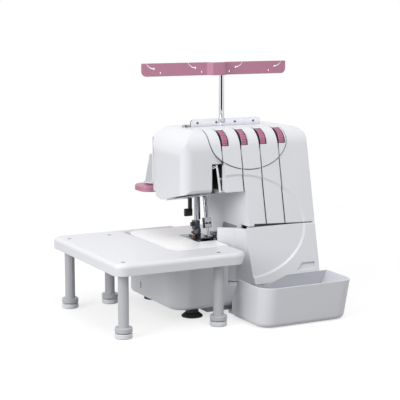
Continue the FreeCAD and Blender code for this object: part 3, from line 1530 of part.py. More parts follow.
def mains_inlet(y, z):
    """Flanged socket with two contact pins."""
    face = "body_right + wall / 2"
    flange = box(("body_right", face), inside(y, "-wall"), inside(z, "-wall"))
    socket = box(("body_right - 4 * wall", face), inside(y, "seat_gap"), inside(z, "seat_gap"))
    hollow = box(("body_right - 3 * wall", "body_right + wall"), inside(y, "wall"), inside(z, "wall"))
    pins = [rod("X", (f"inlet_y + inlet_width * {share} / 3", "inlet_z + inlet_height / 2"),
                ("body_right - 3.5 * wall", "body_right - wall"), "wall / 2") for share in (1, 2)]
    return joined(cut(joined(flange, socket), hollow), *pins)


def lamp_lens():
    """Lamp cover under the arm."""
    lens = box(("arm_left + 3 * wall", "column_left - 2 * wall"),
               ("head_front + 4 * wall", "head_front + 11 * wall"), ("arm_bottom - wall", "arm_bottom"))
    node("lamp_lens", rounded(lens, ("free_gap", on_bottom)))


upper_covers()
rear_cover()
looper_cover()
bed()
needle_plate()
needle_works()
presser()
pressure_screw()
loopers()
knives()
machine_frame()
table()
waste_bin()
drive()
tension_works()
thread_stand()
clear_guide()
side_controls()
lamp_lens()
doc.recompute()

for obj in doc.Objects:
    if "Invalid" in obj.State or "Error" in obj.State:
        raise RuntimeError(f"{obj.Label} failed: {obj.State}")
for obj in NODES:
    if obj.Shape.isNull() or not obj.Shape.isValid():
        raise RuntimeError(f"{obj.Label} has no valid shape")

os.makedirs("parts", exist_ok=True)
for obj in NODES:
    obj.Shape.exportStep(f"parts/{obj.Label}.step")
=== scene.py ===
import json
import math

import bmesh
import bpy
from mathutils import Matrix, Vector


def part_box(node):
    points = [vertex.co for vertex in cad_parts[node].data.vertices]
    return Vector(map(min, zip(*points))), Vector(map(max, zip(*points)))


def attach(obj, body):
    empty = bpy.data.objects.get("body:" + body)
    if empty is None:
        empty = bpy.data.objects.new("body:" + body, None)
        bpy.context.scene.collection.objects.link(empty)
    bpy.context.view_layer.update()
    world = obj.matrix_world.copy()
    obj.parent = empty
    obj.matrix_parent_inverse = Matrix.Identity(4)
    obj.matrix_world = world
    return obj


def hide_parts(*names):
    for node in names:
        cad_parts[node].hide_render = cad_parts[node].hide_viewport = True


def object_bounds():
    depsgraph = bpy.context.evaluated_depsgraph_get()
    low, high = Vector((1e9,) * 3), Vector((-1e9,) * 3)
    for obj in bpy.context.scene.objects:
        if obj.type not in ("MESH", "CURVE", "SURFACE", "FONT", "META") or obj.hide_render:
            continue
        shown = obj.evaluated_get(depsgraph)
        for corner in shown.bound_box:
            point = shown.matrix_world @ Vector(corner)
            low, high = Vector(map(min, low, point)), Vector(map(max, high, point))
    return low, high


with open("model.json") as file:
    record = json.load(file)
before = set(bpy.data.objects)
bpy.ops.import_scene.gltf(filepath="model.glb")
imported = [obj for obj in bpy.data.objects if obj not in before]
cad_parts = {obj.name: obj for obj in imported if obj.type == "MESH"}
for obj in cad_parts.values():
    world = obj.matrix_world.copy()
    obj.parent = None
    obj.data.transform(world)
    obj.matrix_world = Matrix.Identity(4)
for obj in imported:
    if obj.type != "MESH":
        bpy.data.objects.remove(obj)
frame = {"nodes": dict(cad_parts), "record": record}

# dresses the CAD pieces of an overlock machine, adds small trim to them, and sets the stage

CAD_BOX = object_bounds()
MM = 0.001

# camera, and the way from the part to it
CAMERA_PLACE = (-0.930, -1.7294, 0.4863)
CAMERA_TURN = (math.radians(90 - 8.85), 0.0, math.radians(-27.58))
CAMERA_LENS = 110.6
CAMERA_SENSOR = 36.0
CAMERA_SIDE = (-0.47, -0.87, 0.14)

# light of the surround, by height
HORIZON = 0.42
ZENITH = 0.75

# what mirrors see: a grey floor far behind and a dark room round the camera
FAR_GREY = (0.2, 0.2, 0.23)
ROOM_DARK = (0.015, 0.015, 0.02)
FAR_EDGE = (0.2, 0.55)
LOW_EDGE = (0.02, 0.08)
ROOM_EDGE = (0.72, 0.84)

FLOOR_SIZE = 1.6
FLOOR_TOP = -0.5 * MM
FLOOR_GLOW = 0.66
FLOOR_GREYS = (0.37, 0.39)

# lamps: name, place, size and power
LAMP_AIM = Vector((0.0, 0.0, 0.18))
LAMPS = (
    ("overhead", (-0.2, -0.1, 1.9), 1.6, 2.0),
    ("left", (-1.7, -0.45, 0.9), 1.1, 20.0),
    ("front", (0.0, -1.1, 1.85), 1.0, 12.5),
)

# edges that turn further than this are rounded, or stay sharp in the shading
SHARP = math.radians(35)


class Value:
    """Shader output that takes part in sums: each operator adds a Math node."""

    def __init__(self, finish, socket):
        self.finish = finish
        self.socket = socket

    def math(self, operation, first, second):
        return self.finish.add("ShaderNodeMath", {"operation": operation}, {0: first, 1: second})

    def __add__(self, other):
        return self.math("ADD", self, other)

    def __radd__(self, other):
        return self.math("ADD", other, self)

    def __sub__(self, other):
        return self.math("SUBTRACT", self, other)

    def __rsub__(self, other):
        return self.math("SUBTRACT", other, self)

    def __mul__(self, other):
        return self.math("MULTIPLY", self, other)


class Shading:
    """One node tree, with its nodes added by kind."""

    def __init__(self, tree, shader, place):
        self.tree = tree
        self.shader = tree.nodes[shader]
        self.place = self.add("ShaderNodeTexCoord", {}, {}, place)

    def add(self, kind, settings, sockets, out=0):
        """A node of one kind, with its settings set first and its sockets set or linked."""
        node = self.tree.nodes.new(kind)
        for name, value in settings.items():
            if name == "stops":
                for stop, (position, shade) in zip(node.color_ramp.elements, value):
                    stop.position = position
                    stop.color = shade
            else:
                setattr(node, name, value)
        for name, value in sockets.items():
            self.feed(node.inputs[name], value)
        return Value(self, node.outputs[out])

    def feed(self, socket, value):
        """Link a node's output to a socket, or set the socket to a fixed value."""
        if isinstance(value, Value):
            self.tree.links.new(value.socket, socket)
        else:
            socket.default_value = value

    def wear(self, **sockets):
        """Feed the shader's own sockets, with underscores for spaces."""
        for name, value in sockets.items():
            self.feed(self.shader.inputs[name.replace("_", " ")], value)
        return self

    def noise(self, scale, detail=3.0, place=None):
        """Cloudy pattern, over the object's place or another."""
        sockets = {"Vector": place or self.place, "Scale": scale, "Detail": detail}
        return self.add("ShaderNodeTexNoise", {}, sockets)

    def stretched(self, scale):
        """Object place, scaled apart along each axis."""
        return self.add("ShaderNodeMapping", {}, {"Vector": self.place, "Scale": scale})

    def ramp(self, value, low, high):
        """0 below low, 1 above high."""
        stops = [(low, (0, 0, 0, 1)), (high, (1, 1, 1, 1))]
        return self.add("ShaderNodeValToRGB", {"stops": stops}, {"Fac": value})

    def mix(self, share, first, second):
        """First colour where the share is 0, second where it is 1."""
        return self.add("ShaderNodeMix", {"data_type": "RGBA"}, {0: share, 6: first, 7: second}, 2)

    def bump(self, height, depth, strength, normal=None):
        """Fine relief, over the surface or over another normal."""
        sockets = {"Height": height, "Distance": depth, "Strength": strength}
        if normal:
            sockets["Normal"] = normal
        return self.add("ShaderNodeBump", {}, sockets)

    def soft_edges(self, radius):
        """Normal that is rounded at the edges."""
        return self.add("ShaderNodeBevel", {"samples": 6}, {"Radius": radius})

    def part(self, axis):
        """One coordinate of the place."""
        return self.add("ShaderNodeSeparateXYZ", {}, {0: self.place}, axis)

    def ray(self, kind):
        """1 for rays of one kind."""
        return self.add("ShaderNodeLightPath", {}, {}, kind)

    def looked_at(self):
        """1 for what the camera sees, straight or in metal and glass."""
        return self.ray("Is Camera Ray") + self.ray("Is Glossy Ray") + self.ray("Is Transmission Ray")


class Finish(Shading):
    """One material, with its shader's fixed values."""

    def __init__(self, name, fixed):
        self.material = bpy.data.materials.new(name)
        self.material.use_nodes = True
        super().__init__(self.material.node_tree, "Principled BSDF", "Object")
        for socket, value in fixed.items():
            self.shader.inputs[socket].default_value = value


def colour(red, green, blue):
    """Opaque colour."""
    return red, green, blue, 1.0


def grey(level):
    """Opaque grey."""
    return colour(level, level, level)


# parts of a noise that show as handling marks
MARKS = (0.5, 0.8)


def moulded(name, clean, rough, radius, peel=0.00001):
    """Moulded plastic: a trace of cloudiness, handling marks, a fine skin, and softened edges."""
    finish = Finish(name, {"Specular IOR Level": 0.5})
    shade = colour(*(0.975 * part for part in clean[:3]))
    marks = finish.ramp(finish.noise(55.0, 5.0), *MARKS)
    return finish.wear(
        Base_Color=finish.mix(finish.noise(14.0, 2.0), clean, shade),
        Roughness=rough + marks * 0.03,
        Normal=finish.bump(finish.noise(900.0, 2.0), peel, 0.4, finish.soft_edges(radius))).material


def metal(name, clean, shade, rough, streak):
    """Metal drawn or ground along one axis, with fine streaks and faint handling marks."""
    finish = Finish(name, {"Metallic": 1.0})
    lines = finish.noise(1.0, 4.0, finish.stretched(streak))
    marks = finish.ramp(finish.noise(90.0, 5.0), *MARKS)
    return finish.wear(
        Base_Color=finish.mix(lines, clean, shade),
        Roughness=rough + lines * 0.06 + marks * 0.04,
        Normal=finish.bump(lines, 0.00001, 0.5, finish.soft_edges(0.0003))).material


def cast_iron():
    """Painted casting with a pebbled skin."""
    finish = Finish("painted_casting", {})
    pebbles = finish.noise(420.0, 5.0)
    return finish.wear(
        Base_Color=finish.mix(pebbles, colour(0.21, 0.22, 0.23), colour(0.33, 0.34, 0.35)),
        Roughness=0.5 + pebbles * 0.2,
        Normal=finish.bump(pebbles, 0.0002, 0.7)).material


def clear_plastic():
    """Clear acrylic with faint flow lines."""
    finish = Finish("clear_acrylic", {"Transmission Weight": 0.92, "IOR": 1.46})
    flow = finish.noise(1.0, 2.0, finish.stretched((30.0, 30.0, 140.0)))
    return finish.wear(
        Base_Color=finish.mix(flow, colour(0.90, 0.90, 0.95), colour(0.80, 0.80, 0.88)),
        Roughness=0.03 + flow * 0.06,
        Normal=finish.bump(flow, 0.00004, 0.4)).material


# stretch of the streaks in metal: drawn along Z, ground along Y or X, and turned
DRAWN = (600.0, 600.0, 6.0)
GROUND_Y = (900.0, 60.0, 60.0)
GROUND_X = (60.0, 900.0, 60.0)
TURNED = (300.0, 300.0, 40.0)

# plastics: name, colour, roughness, radius of the softened edges and depth of the skin
# metals: name, two colours, roughness and stretch of the streaks
MATERIALS = {
    "shell": moulded("white_shell", colour(0.74, 0.755, 0.785), 0.28, 0.0011),
    "table_shell": moulded("table_white", colour(0.70, 0.71, 0.735), 0.32, 0.001),
    # bed plates: their own white, raised further to paint light into the shade of the head over them
    "plate_white_painted_light": moulded("plate_white_painted_light", colour(0.93, 0.93, 0.94), 0.3, 0.0005),
    # table legs: the table's white plastic, darkened to paint the shade under the table
    "leg_white_painted_shade": moulded("leg_white_painted_shade", colour(0.48, 0.485, 0.51), 0.34, 0.0008),
    "cone": moulded("cone_white", colour(0.74, 0.75, 0.77), 0.36, 0.0004),
    "bin": moulded("bin_grey", colour(0.70, 0.705, 0.745), 0.38, 0.0009),
    "stand_pink": moulded("stand_mauve", colour(0.485, 0.21, 0.305), 0.34, 0.0008),
    "dial_pink": moulded("dial_mauve", colour(0.47, 0.165, 0.265), 0.3, 0.0005),
    "black": moulded("black_plastic", colour(0.024, 0.024, 0.028), 0.4, 0.0006, 0.00005),
    "rubber": moulded("black_rubber", colour(0.014, 0.014, 0.017), 0.55, 0.0008, 0.00006),
    "base": moulded("base_grey", colour(0.45, 0.46, 0.49), 0.45, 0.0008, 0.00005),
    "chrome": metal("bright_chrome", colour(0.86, 0.87, 0.89), colour(0.80, 0.81, 0.84), 0.02, DRAWN),
    "steel": metal("ground_steel", colour(0.50, 0.51, 0.54), colour(0.38, 0.39, 0.42), 0.22, GROUND_Y),
    "foot_steel": metal("dark_steel", colour(0.17, 0.19, 0.225), colour(0.10, 0.115, 0.14), 0.2, GROUND_X),
    "bar_steel": metal("drawn_steel", colour(0.56, 0.58, 0.62), colour(0.40, 0.42, 0.46), 0.08, DRAWN),
    "brass": metal("yellow_brass", colour(0.36, 0.21, 0.11), colour(0.22, 0.12, 0.06), 0.22, TURNED),
    "casting": cast_iron(),
    "clear": clear_plastic(),
}

# nodes whose finish isn't their slot's
OWN_FINISH = {
    "bed_plate_front": "plate_white_painted_light",
    "bed_plate_rear": "plate_white_painted_light",
    "table_legs": "leg_white_painted_shade",
    "needle_plate": "foot_steel",
    "presser_foot": "foot_steel",
    "foot_ankle": "foot_steel",
    "presser_bar": "bar_steel",
    "needle_bar": "bar_steel",
    "clamp_screws": "black",
    "ankle_screw": "black",
}


def dress_frame():
    """Give every CAD node the finish of its slot, or one of its own."""
    for part in frame["record"]["subparts"]:
        finish = OWN_FINISH.get(part["node"], part["material_slot"])
        for slot in frame["nodes"][part["node"]].material_slots:
            slot.material = MATERIALS[finish]


# direction of each axis, and a direction out from it
AXES = {
    "X": (Vector((1, 0, 0)), Vector((0, 0, 1))),
    "Y": (Vector((0, 1, 0)), Vector((0, 0, 1))),
    "Z": (Vector((0, 0, 1)), Vector((1, 0, 0))),
}


def spot(x, y, z):
    """Place or shift, from millimetres."""
    return Vector((x, y, z)) * MM


def start():
    """Leave nothing selected before a new primitive."""
    bpy.ops.object.select_all(action="DESELECT")


def settle(name):
    """Name the new primitive and put its place into its mesh."""
    piece = bpy.context.object
    piece.name = name
    bpy.ops.object.transform_apply(location=True, rotation=True, scale=True)
    return piece


def block(name, low, high):
    """Box between two corners."""
    low, high = Vector(low), Vector(high)
    start()
    bpy.ops.mesh.primitive_cube_add(size=1.0, location=(low + high) / 2, scale=high - low)
    return settle(name)


def edit(piece, kind):
    """Open a piece in edit mode, with nothing in it selected."""
    start()
    piece.select_set(True)
    bpy.context.view_layer.objects.active = piece
    bpy.ops.object.mode_set(mode="EDIT")
    bpy.ops.mesh.select_mode(type=kind)
    bpy.ops.mesh.select_all(action="DESELECT")


def done():
    """Leave edit mode."""
    bpy.ops.object.mode_set(mode="OBJECT")


def pick_faces(piece, wanted):
    """In edit mode, select the faces whose centre and normal are wanted."""
    mesh = bmesh.from_edit_mesh(piece.data)
    for face in mesh.faces:
        face.select_set(wanted(face.calc_center_median(), face.normal))
    bmesh.update_edit_mesh(piece.data)


def pick_edges(piece, wanted):
    """In edit mode, select the edges whose two ends are wanted."""
    mesh = bmesh.from_edit_mesh(piece.data)
    for edge in mesh.edges:
        edge.select_set(wanted(edge.verts[0].co, edge.verts[1].co))
    bmesh.update_edit_mesh(piece.data)


def pick_verts(piece, wanted):
    """In edit mode, select the points whose place is wanted."""
    mesh = bmesh.from_edit_mesh(piece.data)
    for point in mesh.verts:
        point.select_set(wanted(point.co))
    bmesh.update_edit_mesh(piece.data)


def drawn(name, place, steps):
    """Line drawn from a first point, one step after another, left in edit mode with all of it selected."""
    start()
    bpy.ops.mesh.primitive_plane_add(size=MM, location=place)
    piece = settle(name)
    bpy.ops.object.mode_set(mode="EDIT")
    bpy.ops.mesh.select_mode(type="VERT")
    bpy.ops.mesh.merge(type="CENTER")
    for step in steps:
        bpy.ops.mesh.extrude_vertices_move(TRANSFORM_OT_translate={"value": step})
    bpy.ops.mesh.select_all(action="SELECT")
    return piece


def lathe(name, centre, axis, section, steps):
    """Half section of (radius, height) corners, drawn point by point and spun about an axis."""
    along, out = AXES[axis]
    centre = Vector(centre)
    corners = [centre + out * radius + along * height for radius, height in section]
    piece = drawn(name, corners[0], [there - here for here, there in zip(corners, corners[1:])])
    bpy.ops.mesh.spin(steps=steps, angle=math.tau, center=centre, axis=along)
    bpy.ops.mesh.select_all(action="SELECT")
    bpy.ops.mesh.remove_doubles(threshold=0.000001)
    bpy.ops.mesh.delete_loose()
    bpy.ops.mesh.normals_make_consistent(inside=False)
    done()
    return piece


def modified(piece, kind, **settings):
    """Add a modifier and apply it."""
    start()
    piece.select_set(True)
    bpy.context.view_layer.objects.active = piece
    modifier = piece.modifiers.new(kind.lower(), kind)
    for name, value in settings.items():
        setattr(modifier, name, value)
    bpy.ops.object.modifier_apply(modifier=modifier.name)


def softened(piece, width):
    """Round the sharp edges and smooth the shading."""
    modified(piece, "BEVEL", width=width, segments=2, limit_method="ANGLE", angle_limit=SHARP)
    return smooth(piece)


def smooth(piece):
    """Smooth the shading between faces that turn little."""
    start()
    piece.select_set(True)
    bpy.context.view_layer.objects.active = piece
    bpy.ops.object.shade_smooth_by_angle(angle=SHARP)
    return piece


def cut_out(piece, cutter):
    """Take one piece's volume out of another, and drop the cutter."""
    modified(piece, "BOOLEAN", operation="DIFFERENCE", solver="MANIFOLD", object=cutter)
    bpy.data.objects.remove(cutter)


def joined(name, pieces):
    """Make one object of several pieces."""
    start()
    for piece in pieces:
        piece.select_set(True)
    bpy.context.view_layer.objects.active = pieces[0]
    bpy.ops.object.join()
    pieces[0].name = name
    return pieces[0]


def finish_piece(piece, body, slot, *nodes):
    """Give a piece its finish and its body, and hide the CAD nodes it stands for."""
    piece.data.materials.clear()
    piece.data.materials.append(MATERIALS[slot])
    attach(piece, body)
    if nodes:
        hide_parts(*nodes)


def middle(node):
    """Middle of a CAD node's box."""
    low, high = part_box(node)
    return (low + high) / 2


def knurled(piece, centre, axis, radius, steps, depth):
    """Sink every other face of a rim, so that it has ridges for the thumb."""
    along, out = AXES[axis]
    beside = along.cross(out)

    def groove(place, normal):
        arm = place - centre
        turn = math.atan2(arm.dot(beside), arm.dot(out)) / math.tau * steps
        return abs(normal.dot(along)) < 0.1 and arm.length > 0.8 * radius and int(turn + 2 * steps) % 2 == 0

    edit(piece, "FACE")
    pick_faces(piece, groove)
    bpy.ops.mesh.inset(thickness=0.12 * math.tau * radius / steps, use_individual=True)
    bpy.ops.transform.shrink_fatten(value=-depth)
    done()


# tension dials: bore for their axle, their lips, and how far the right side is set in for its black washer,
# which paints the shade in the window gap
AXLE_BORE = 3.1 * MM
DIAL_LIP = 1.2 * MM
DIAL_INSET = 1.2 * MM
DIAL_STEPS = 64


def tension_dials():
    """Ridged thumbwheels with a lip at each side."""
    for number in range(1, 5):
        node = f"tension_dial_{number}"
        low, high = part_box(node)
        centre = middle(node)
        radius = (high.z - low.z) / 2
        half = (high.x - low.x) / 2
        right = half - DIAL_INSET
        lip = DIAL_LIP
        wheel = lathe(f"thumbwheel_{number}", centre, "X", [
            (AXLE_BORE, -half),
            (radius - 6 * lip, -half),
            (radius - 5 * lip, lip - half),
            (radius - 2 * lip, lip - half),
            (radius - lip, -half),
            (radius, lip - half),
            (radius, right - lip),
            (radius - lip, right),
            (radius - 2 * lip, right - lip),
            (radius - 5 * lip, right - lip),
            (radius - 6 * lip, right),
            (AXLE_BORE, right),
            (AXLE_BORE, -half),
        ], DIAL_STEPS)
        knurled(wheel, centre, "X", radius, DIAL_STEPS, 0.8 * MM)
        finish_piece(smooth(wheel), f"tension_setting_{number}", "dial_pink", node)


def handwheel():
    """Dished handwheel with finger ridges round its rim."""
    low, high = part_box("handwheel")
    centre = Vector((low.x, middle("handwheel").y, middle("handwheel").z))
    radius = (high.z - low.z) / 2
    wide = high.x - low.x
    bore = 6.02 * MM
    steps = 72
    wheel = lathe("ridged_handwheel", centre, "X", [
        (bore, 0),
        (radius - 3 * MM, 0),
        (radius, 3 * MM),
        (radius, wide - 6 * MM),
        (radius - 2 * MM, wide - 2 * MM),
        (radius - 5 * MM, wide),
        (radius - 9 * MM, wide),
        (radius - 13 * MM, wide - 4 * MM),
        (bore + 6 * MM, wide - 5 * MM),
        (bore + 4 * MM, wide - 2 * MM),
        (bore, wide - 2 * MM),
        (bore, 0),
    ], steps)
    knurled(wheel, centre + Vector((wide / 2, 0, 0)), "X", radius, steps, 0.9 * MM)
    finish_piece(softened(wheel, 0.4 * MM), "drive_shaft", "shell", "handwheel")


# guide bar: its flat run behind the pole, the bulge round the pole (mm from its axis), and its openings
BAR_BACK = 5.0 * MM
BAR_BULGE = (
    (-30, 5), (-27, 4.6), (-24.5, 2.6), (-22, -2), (-19.5, -5.4),
    (-17, -6.6), (-13, -6.8), (-2, -6.8), (2.6, -6.3), (4.8, -4.8),
    (6.3, -2.6), (6.8, 0), (7.2, 2.6), (8.2, 4.4), (10, 5),
)
BAR_THICK = 2.4 * MM
BAR_LOW_CORNER = 9 * MM
BAR_TOP_CORNER = 2 * MM
EYE_FIRST = 23 * MM
EYE_PITCH = 78 * MM
EYE_HIGH = 13 * MM
EYE_RADIUS = 2 * MM
HOLE_RADIUS = 1.8 * MM
SLIT_REACH = 15 * MM
SLIT_TURN = math.radians(78)


def guide_bar():
    """Thread bar of thick sheet that bulges round the pole, with curved slits, eyes and a hub."""
    low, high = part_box("guide_bar")
    pole = middle("pole_upper")
    tall = high.z - low.z
    back = pole.y + BAR_BACK
    path = [Vector((low.x, back, low.z))]
    path += [Vector((pole.x + x * MM, pole.y + y * MM, low.z)) for x, y in BAR_BULGE]
    path.append(Vector((high.x, back, low.z)))
    bar = drawn("thread_bar_plate", path[0], [there - here for here, there in zip(path, path[1:])])
    bpy.ops.mesh.extrude_edges_move(TRANSFORM_OT_translate={"value": (0, 0, tall)})
    for edge_z, corner in ((low.z, BAR_LOW_CORNER), (high.z, BAR_TOP_CORNER)):
        pick_verts(bar, lambda place: abs(place.z - edge_z) < MM and not low.x + MM < place.x < high.x - MM)
        bpy.ops.mesh.bevel(offset=corner, segments=8, affect="VERTICES")
    done()
    modified(bar, "SOLIDIFY", thickness=BAR_THICK, offset=0.0)
    for number in range(4):
        side = 1 if number < 2 else -1
        eye = Vector((low.x + EYE_FIRST + EYE_PITCH * number, back, low.z + EYE_HIGH))
        cut_out(bar, slit(eye, -side))
        cut_out(bar, peg(eye, EYE_RADIUS))
        cut_out(bar, peg(eye + spot(side * 12, 0, -7), HOLE_RADIUS))
    softened(bar, 0.4 * MM)
    edit(bar, "VERT")
    bpy.ops.mesh.select_all(action="SELECT")
    bpy.ops.mesh.dissolve_degenerate(threshold=0.001 * MM)
    done()
    modified(bar, "WEIGHTED_NORMAL", keep_sharp=True)
    hub = lathe("bar_hub", (pole.x, pole.y, low.z), "Z", [
        (4.5 * MM, 0),
        (5.8 * MM, 0),
        (6.2 * MM, 0.6 * MM),
        (6.2 * MM, tall - 1.2 * MM),
        (5.4 * MM, tall - 0.4 * MM),
        (0, tall - 0.4 * MM),
        (0, tall - 5 * MM),
        (4.5 * MM, tall - 5 * MM),
        (4.5 * MM, 0),
    ], 40)
    finish_piece(joined("thread_bar_plate", [bar, smooth(hub)]), "thread_bar", "stand_pink", "guide_bar")


def slit(eye, side):
    """Cutter for a curved slit from an eye up through the bar's top edge."""
    cutter = block("slit", eye - spot(0.2, 6, 0.9), eye + spot(0, 6, 0.9))
    turning = eye + Vector((0, 0, SLIT_REACH))
    edit(cutter, "FACE")
    pick_faces(cutter, lambda place, normal: normal.x * side < -0.9)
    bpy.ops.mesh.spin(steps=14, angle=side * SLIT_TURN, center=turning, axis=(0, 1, 0))
    bpy.ops.mesh.select_all(action="SELECT")
    bpy.ops.mesh.normals_make_consistent(inside=False)
    done()
    return cutter


def peg(place, radius):
    """Round cutter along Y."""
    start()
    bpy.ops.mesh.primitive_cylinder_add(vertices=28, radius=radius, depth=12 * MM, location=place,
                                        rotation=(math.pi / 2, 0, 0))
    return settle("peg")


# leaning front: one point of it and its slope
FRONT_Y = -50 * MM
FRONT_Z = 141 * MM
FRONT_SLOPE = 0.213


def front_y(z):
    """Y of the leaning front at a height."""
    return FRONT_Y + FRONT_SLOPE * (z - FRONT_Z)


# thread slots: their places across, and the ends, depth and section of the black strips in them, which paint
# the shade in the slots
SLOTS = [(-0.5 + 35 * number) * MM for number in range(4)]
SLOT_TOP = 252 * MM
SLOT_ENDS = [end * MM for end in (240, 198, 142, 142)]
SHADE_STRIP_DEEP = 2.34 * MM
SHADE_STRIP_THICK = 0.3 * MM
SHADE_STRIP_HALF = 1.05 * MM


def slot_shade_strips():
    """Black strips along the floor of each thread slot, painted shade in the slots."""
    shade_strips = []
    for x, low in zip(SLOTS, SLOT_ENDS):
        y = front_y(low) + SHADE_STRIP_DEEP
        shade_strip = block("slot_shade_strip", (x - SHADE_STRIP_HALF, y - SHADE_STRIP_THICK, low), (x + SHADE_STRIP_HALF, y, SLOT_TOP))
        edit(shade_strip, "FACE")
        pick_faces(shade_strip, lambda place, normal: normal.z > 0.9)
        bpy.ops.transform.translate(value=(0, front_y(SLOT_TOP) - front_y(low), 0))
        done()
        shade_strips.append(softened(shade_strip, 0.1 * MM))
    finish_piece(joined("slot_shade_strips", shade_strips), "machine", "black")


def dial_washers_and_gap_shade():
    """Black washers on both faces of each thumbwheel: the left one a dark shim that also darkens the gap
    there, the right one painted shade in the window gap.
    """
    for number in range(1, 5):
        node = f"tension_dial_{number}"
        low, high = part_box(node)
        half = (high.x - low.x) / 2
        radius = (high.z - low.z) / 2 - 0.6 * MM
        washers_and_gap_shade = [washer(f"dial_washer_and_gap_shade_{number}", middle(node), radius, face, thick)
                   for face, thick in ((-half, -0.35 * MM), (half - DIAL_INSET, 1.0 * MM))]
        finish_piece(joined(f"dial_washer_and_gap_shade_{number}", washers_and_gap_shade), f"tension_setting_{number}", "black")


# tension panel: height of its half oval's middle, the oval's half height, and the black line round it that
# paints the shade of its seam
PANEL_Z = 280 * MM
PANEL_TALL = 48 * MM
SEAM_GAP = 0.35 * MM
SEAM_SHADE_WIDTH = 0.95 * MM
SEAM_RISE = [step * MM for step in (3, 3, 3, 2, 2, 1)]


def panel_seam_shade():
    """Black line round the tension panel, painted shade of its seam, drawn in front of the machine and laid
    onto the front cover.
    """
    low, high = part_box("tension_panel")
    wide = (high.x - low.x) / 2 + SEAM_GAP
    tall = PANEL_TALL + SEAM_GAP
    top = Vector(((low.x + high.x) / 2, CAD_BOX[0][1], PANEL_Z))
    start()
    bpy.ops.mesh.primitive_circle_add(vertices=160, radius=wide, fill_type="NOTHING", location=top,
                                      rotation=(math.pi / 2, 0, 0))
    seam_shade = settle("panel_seam_shade")
    edit(seam_shade, "VERT")
    bpy.ops.mesh.select_all(action="SELECT")
    bpy.ops.mesh.bisect(plane_co=top, plane_no=(0, 0, 1), clear_outer=True)
    bpy.ops.mesh.select_all(action="SELECT")
    bpy.ops.transform.resize(value=(1, 1, tall / wide), center_override=top)
    height = PANEL_Z
    for rise in SEAM_RISE:
        pick_verts(seam_shade, lambda place: place.z > height - 0.1 * MM)
        bpy.ops.mesh.extrude_vertices_move(TRANSFORM_OT_translate={"value": (0, 0, rise)})
        height += rise
    bpy.ops.mesh.select_all(action="SELECT")
    bpy.ops.mesh.extrude_edges_move()
    bpy.ops.transform.resize(value=(1 + SEAM_SHADE_WIDTH / wide, 1, 1 + SEAM_SHADE_WIDTH / tall), center_override=top)
    done()
    cover = frame["nodes"]["front_cover"]
    modified(seam_shade, "SHRINKWRAP", target=cover, wrap_method="PROJECT", use_project_y=True)
    modified(seam_shade, "SOLIDIFY", thickness=0.4 * MM, offset=0.0)
    finish_piece(seam_shade, "machine", "black")


def washer(name, centre, radius, face, thick):
    """Washer with an eased rim, on a face across X."""
    return smooth(lathe(name, centre, "X", [
        (AXLE_BORE, face),
        (radius, face),
        (radius, face + 0.6 * thick),
        (radius - 0.3 * MM, face + thick),
        (AXLE_BORE, face + thick),
        (AXLE_BORE, face),
    ], 64))


def leaning(name, low, high, shift):
    """Strip whose lower end is set off sideways and forwards."""
    strip = block(name, low, high)
    edit(strip, "FACE")
    pick_faces(strip, lambda place, normal: normal.z < -0.9)
    bpy.ops.transform.translate(value=shift)
    done()
    return softened(strip, 0.4 * MM)


def recess_fittings_and_shade():
    """Bright thread strip with its eyelets, a dark strip, and black linings that paint the shade inside the
    head's recess.
    """
    strip = leaning("thread_strip", spot(-8.2, -17.5, 196.5), spot(-3.6, -16.3, 241.2), spot(3, -7, 0))
    foot = softened(block("strip_foot", spot(-5.5, -24.5, 196.5), spot(1.2, -22.5, 198.5)), 0.4 * MM)
    ring = eyelet("thread_eyelet", spot(-12.2, -18.5, 236.5), "Y", 1.1 * MM, 2.5 * MM, 2.0 * MM)
    arm = softened(block("eyelet_arm", spot(-10.2, -18.9, 235.6), spot(-6.0, -18.1, 237.4)), 0.3 * MM)
    side_ring = eyelet("side_eyelet", spot(0.2, -20.0, 217.0), "Y", 0.8 * MM, 1.9 * MM, 2.0 * MM)
    finish_piece(joined("thread_strip", [strip, foot, ring, arm, side_ring]), "machine", "chrome")
    inner = leaning("inner_strip", spot(-15.0, -6.2, 194.5), spot(-9.2, -5.0, 241.2), spot(2, -6, 0))
    # black linings on the recess's right wall, back and roof: painted shade of the recess
    wall_shade = block("recess_wall_shade", spot(1.0, -22.5, 198.5), spot(1.5, 11.8, 241.5))
    back_shade = block("recess_back_shade", spot(-16.9, 11.8, 194.5), spot(1.5, 12.8, 241.8))
    top = block("recess_roof_shade", spot(-16.9, -19.0, 241.0), spot(1.0, 11.8, 241.8))
    shade_linings = [softened(piece, 0.15 * MM) for piece in (wall_shade, back_shade, top)]
    finish_piece(joined("recess_strip_and_shade", [inner, *shade_linings]), "machine", "black")


def eyelet(name, centre, axis, bore, radius, length):
    """Rounded thread eyelet."""
    half = length / 2
    lip = (radius - bore) / 3
    return smooth(lathe(name, centre, axis, [
        (bore, lip - half),
        (bore + lip, -half),
        (radius - lip, -half),
        (radius, lip - half),
        (radius, half - lip),
        (radius - lip, half),
        (bore + lip, half),
        (bore, half - lip),
        (bore, lip - half),
    ], 24))


def guide_eyelets():
    """Metal eyelets in the clear guide's four holes."""
    low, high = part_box("clear_guide")
    y = (low.y + high.y) / 2
    z = (low.z + high.z) / 2
    rings = [eyelet("guide_eyelet", (x - 3 * MM, y, z), "Y", 1.1 * MM, 1.95 * MM, high.y - low.y + 1.6 * MM)
             for x in SLOTS]
    finish_piece(joined("guide_eyelets", rings), "machine", "foot_steel")


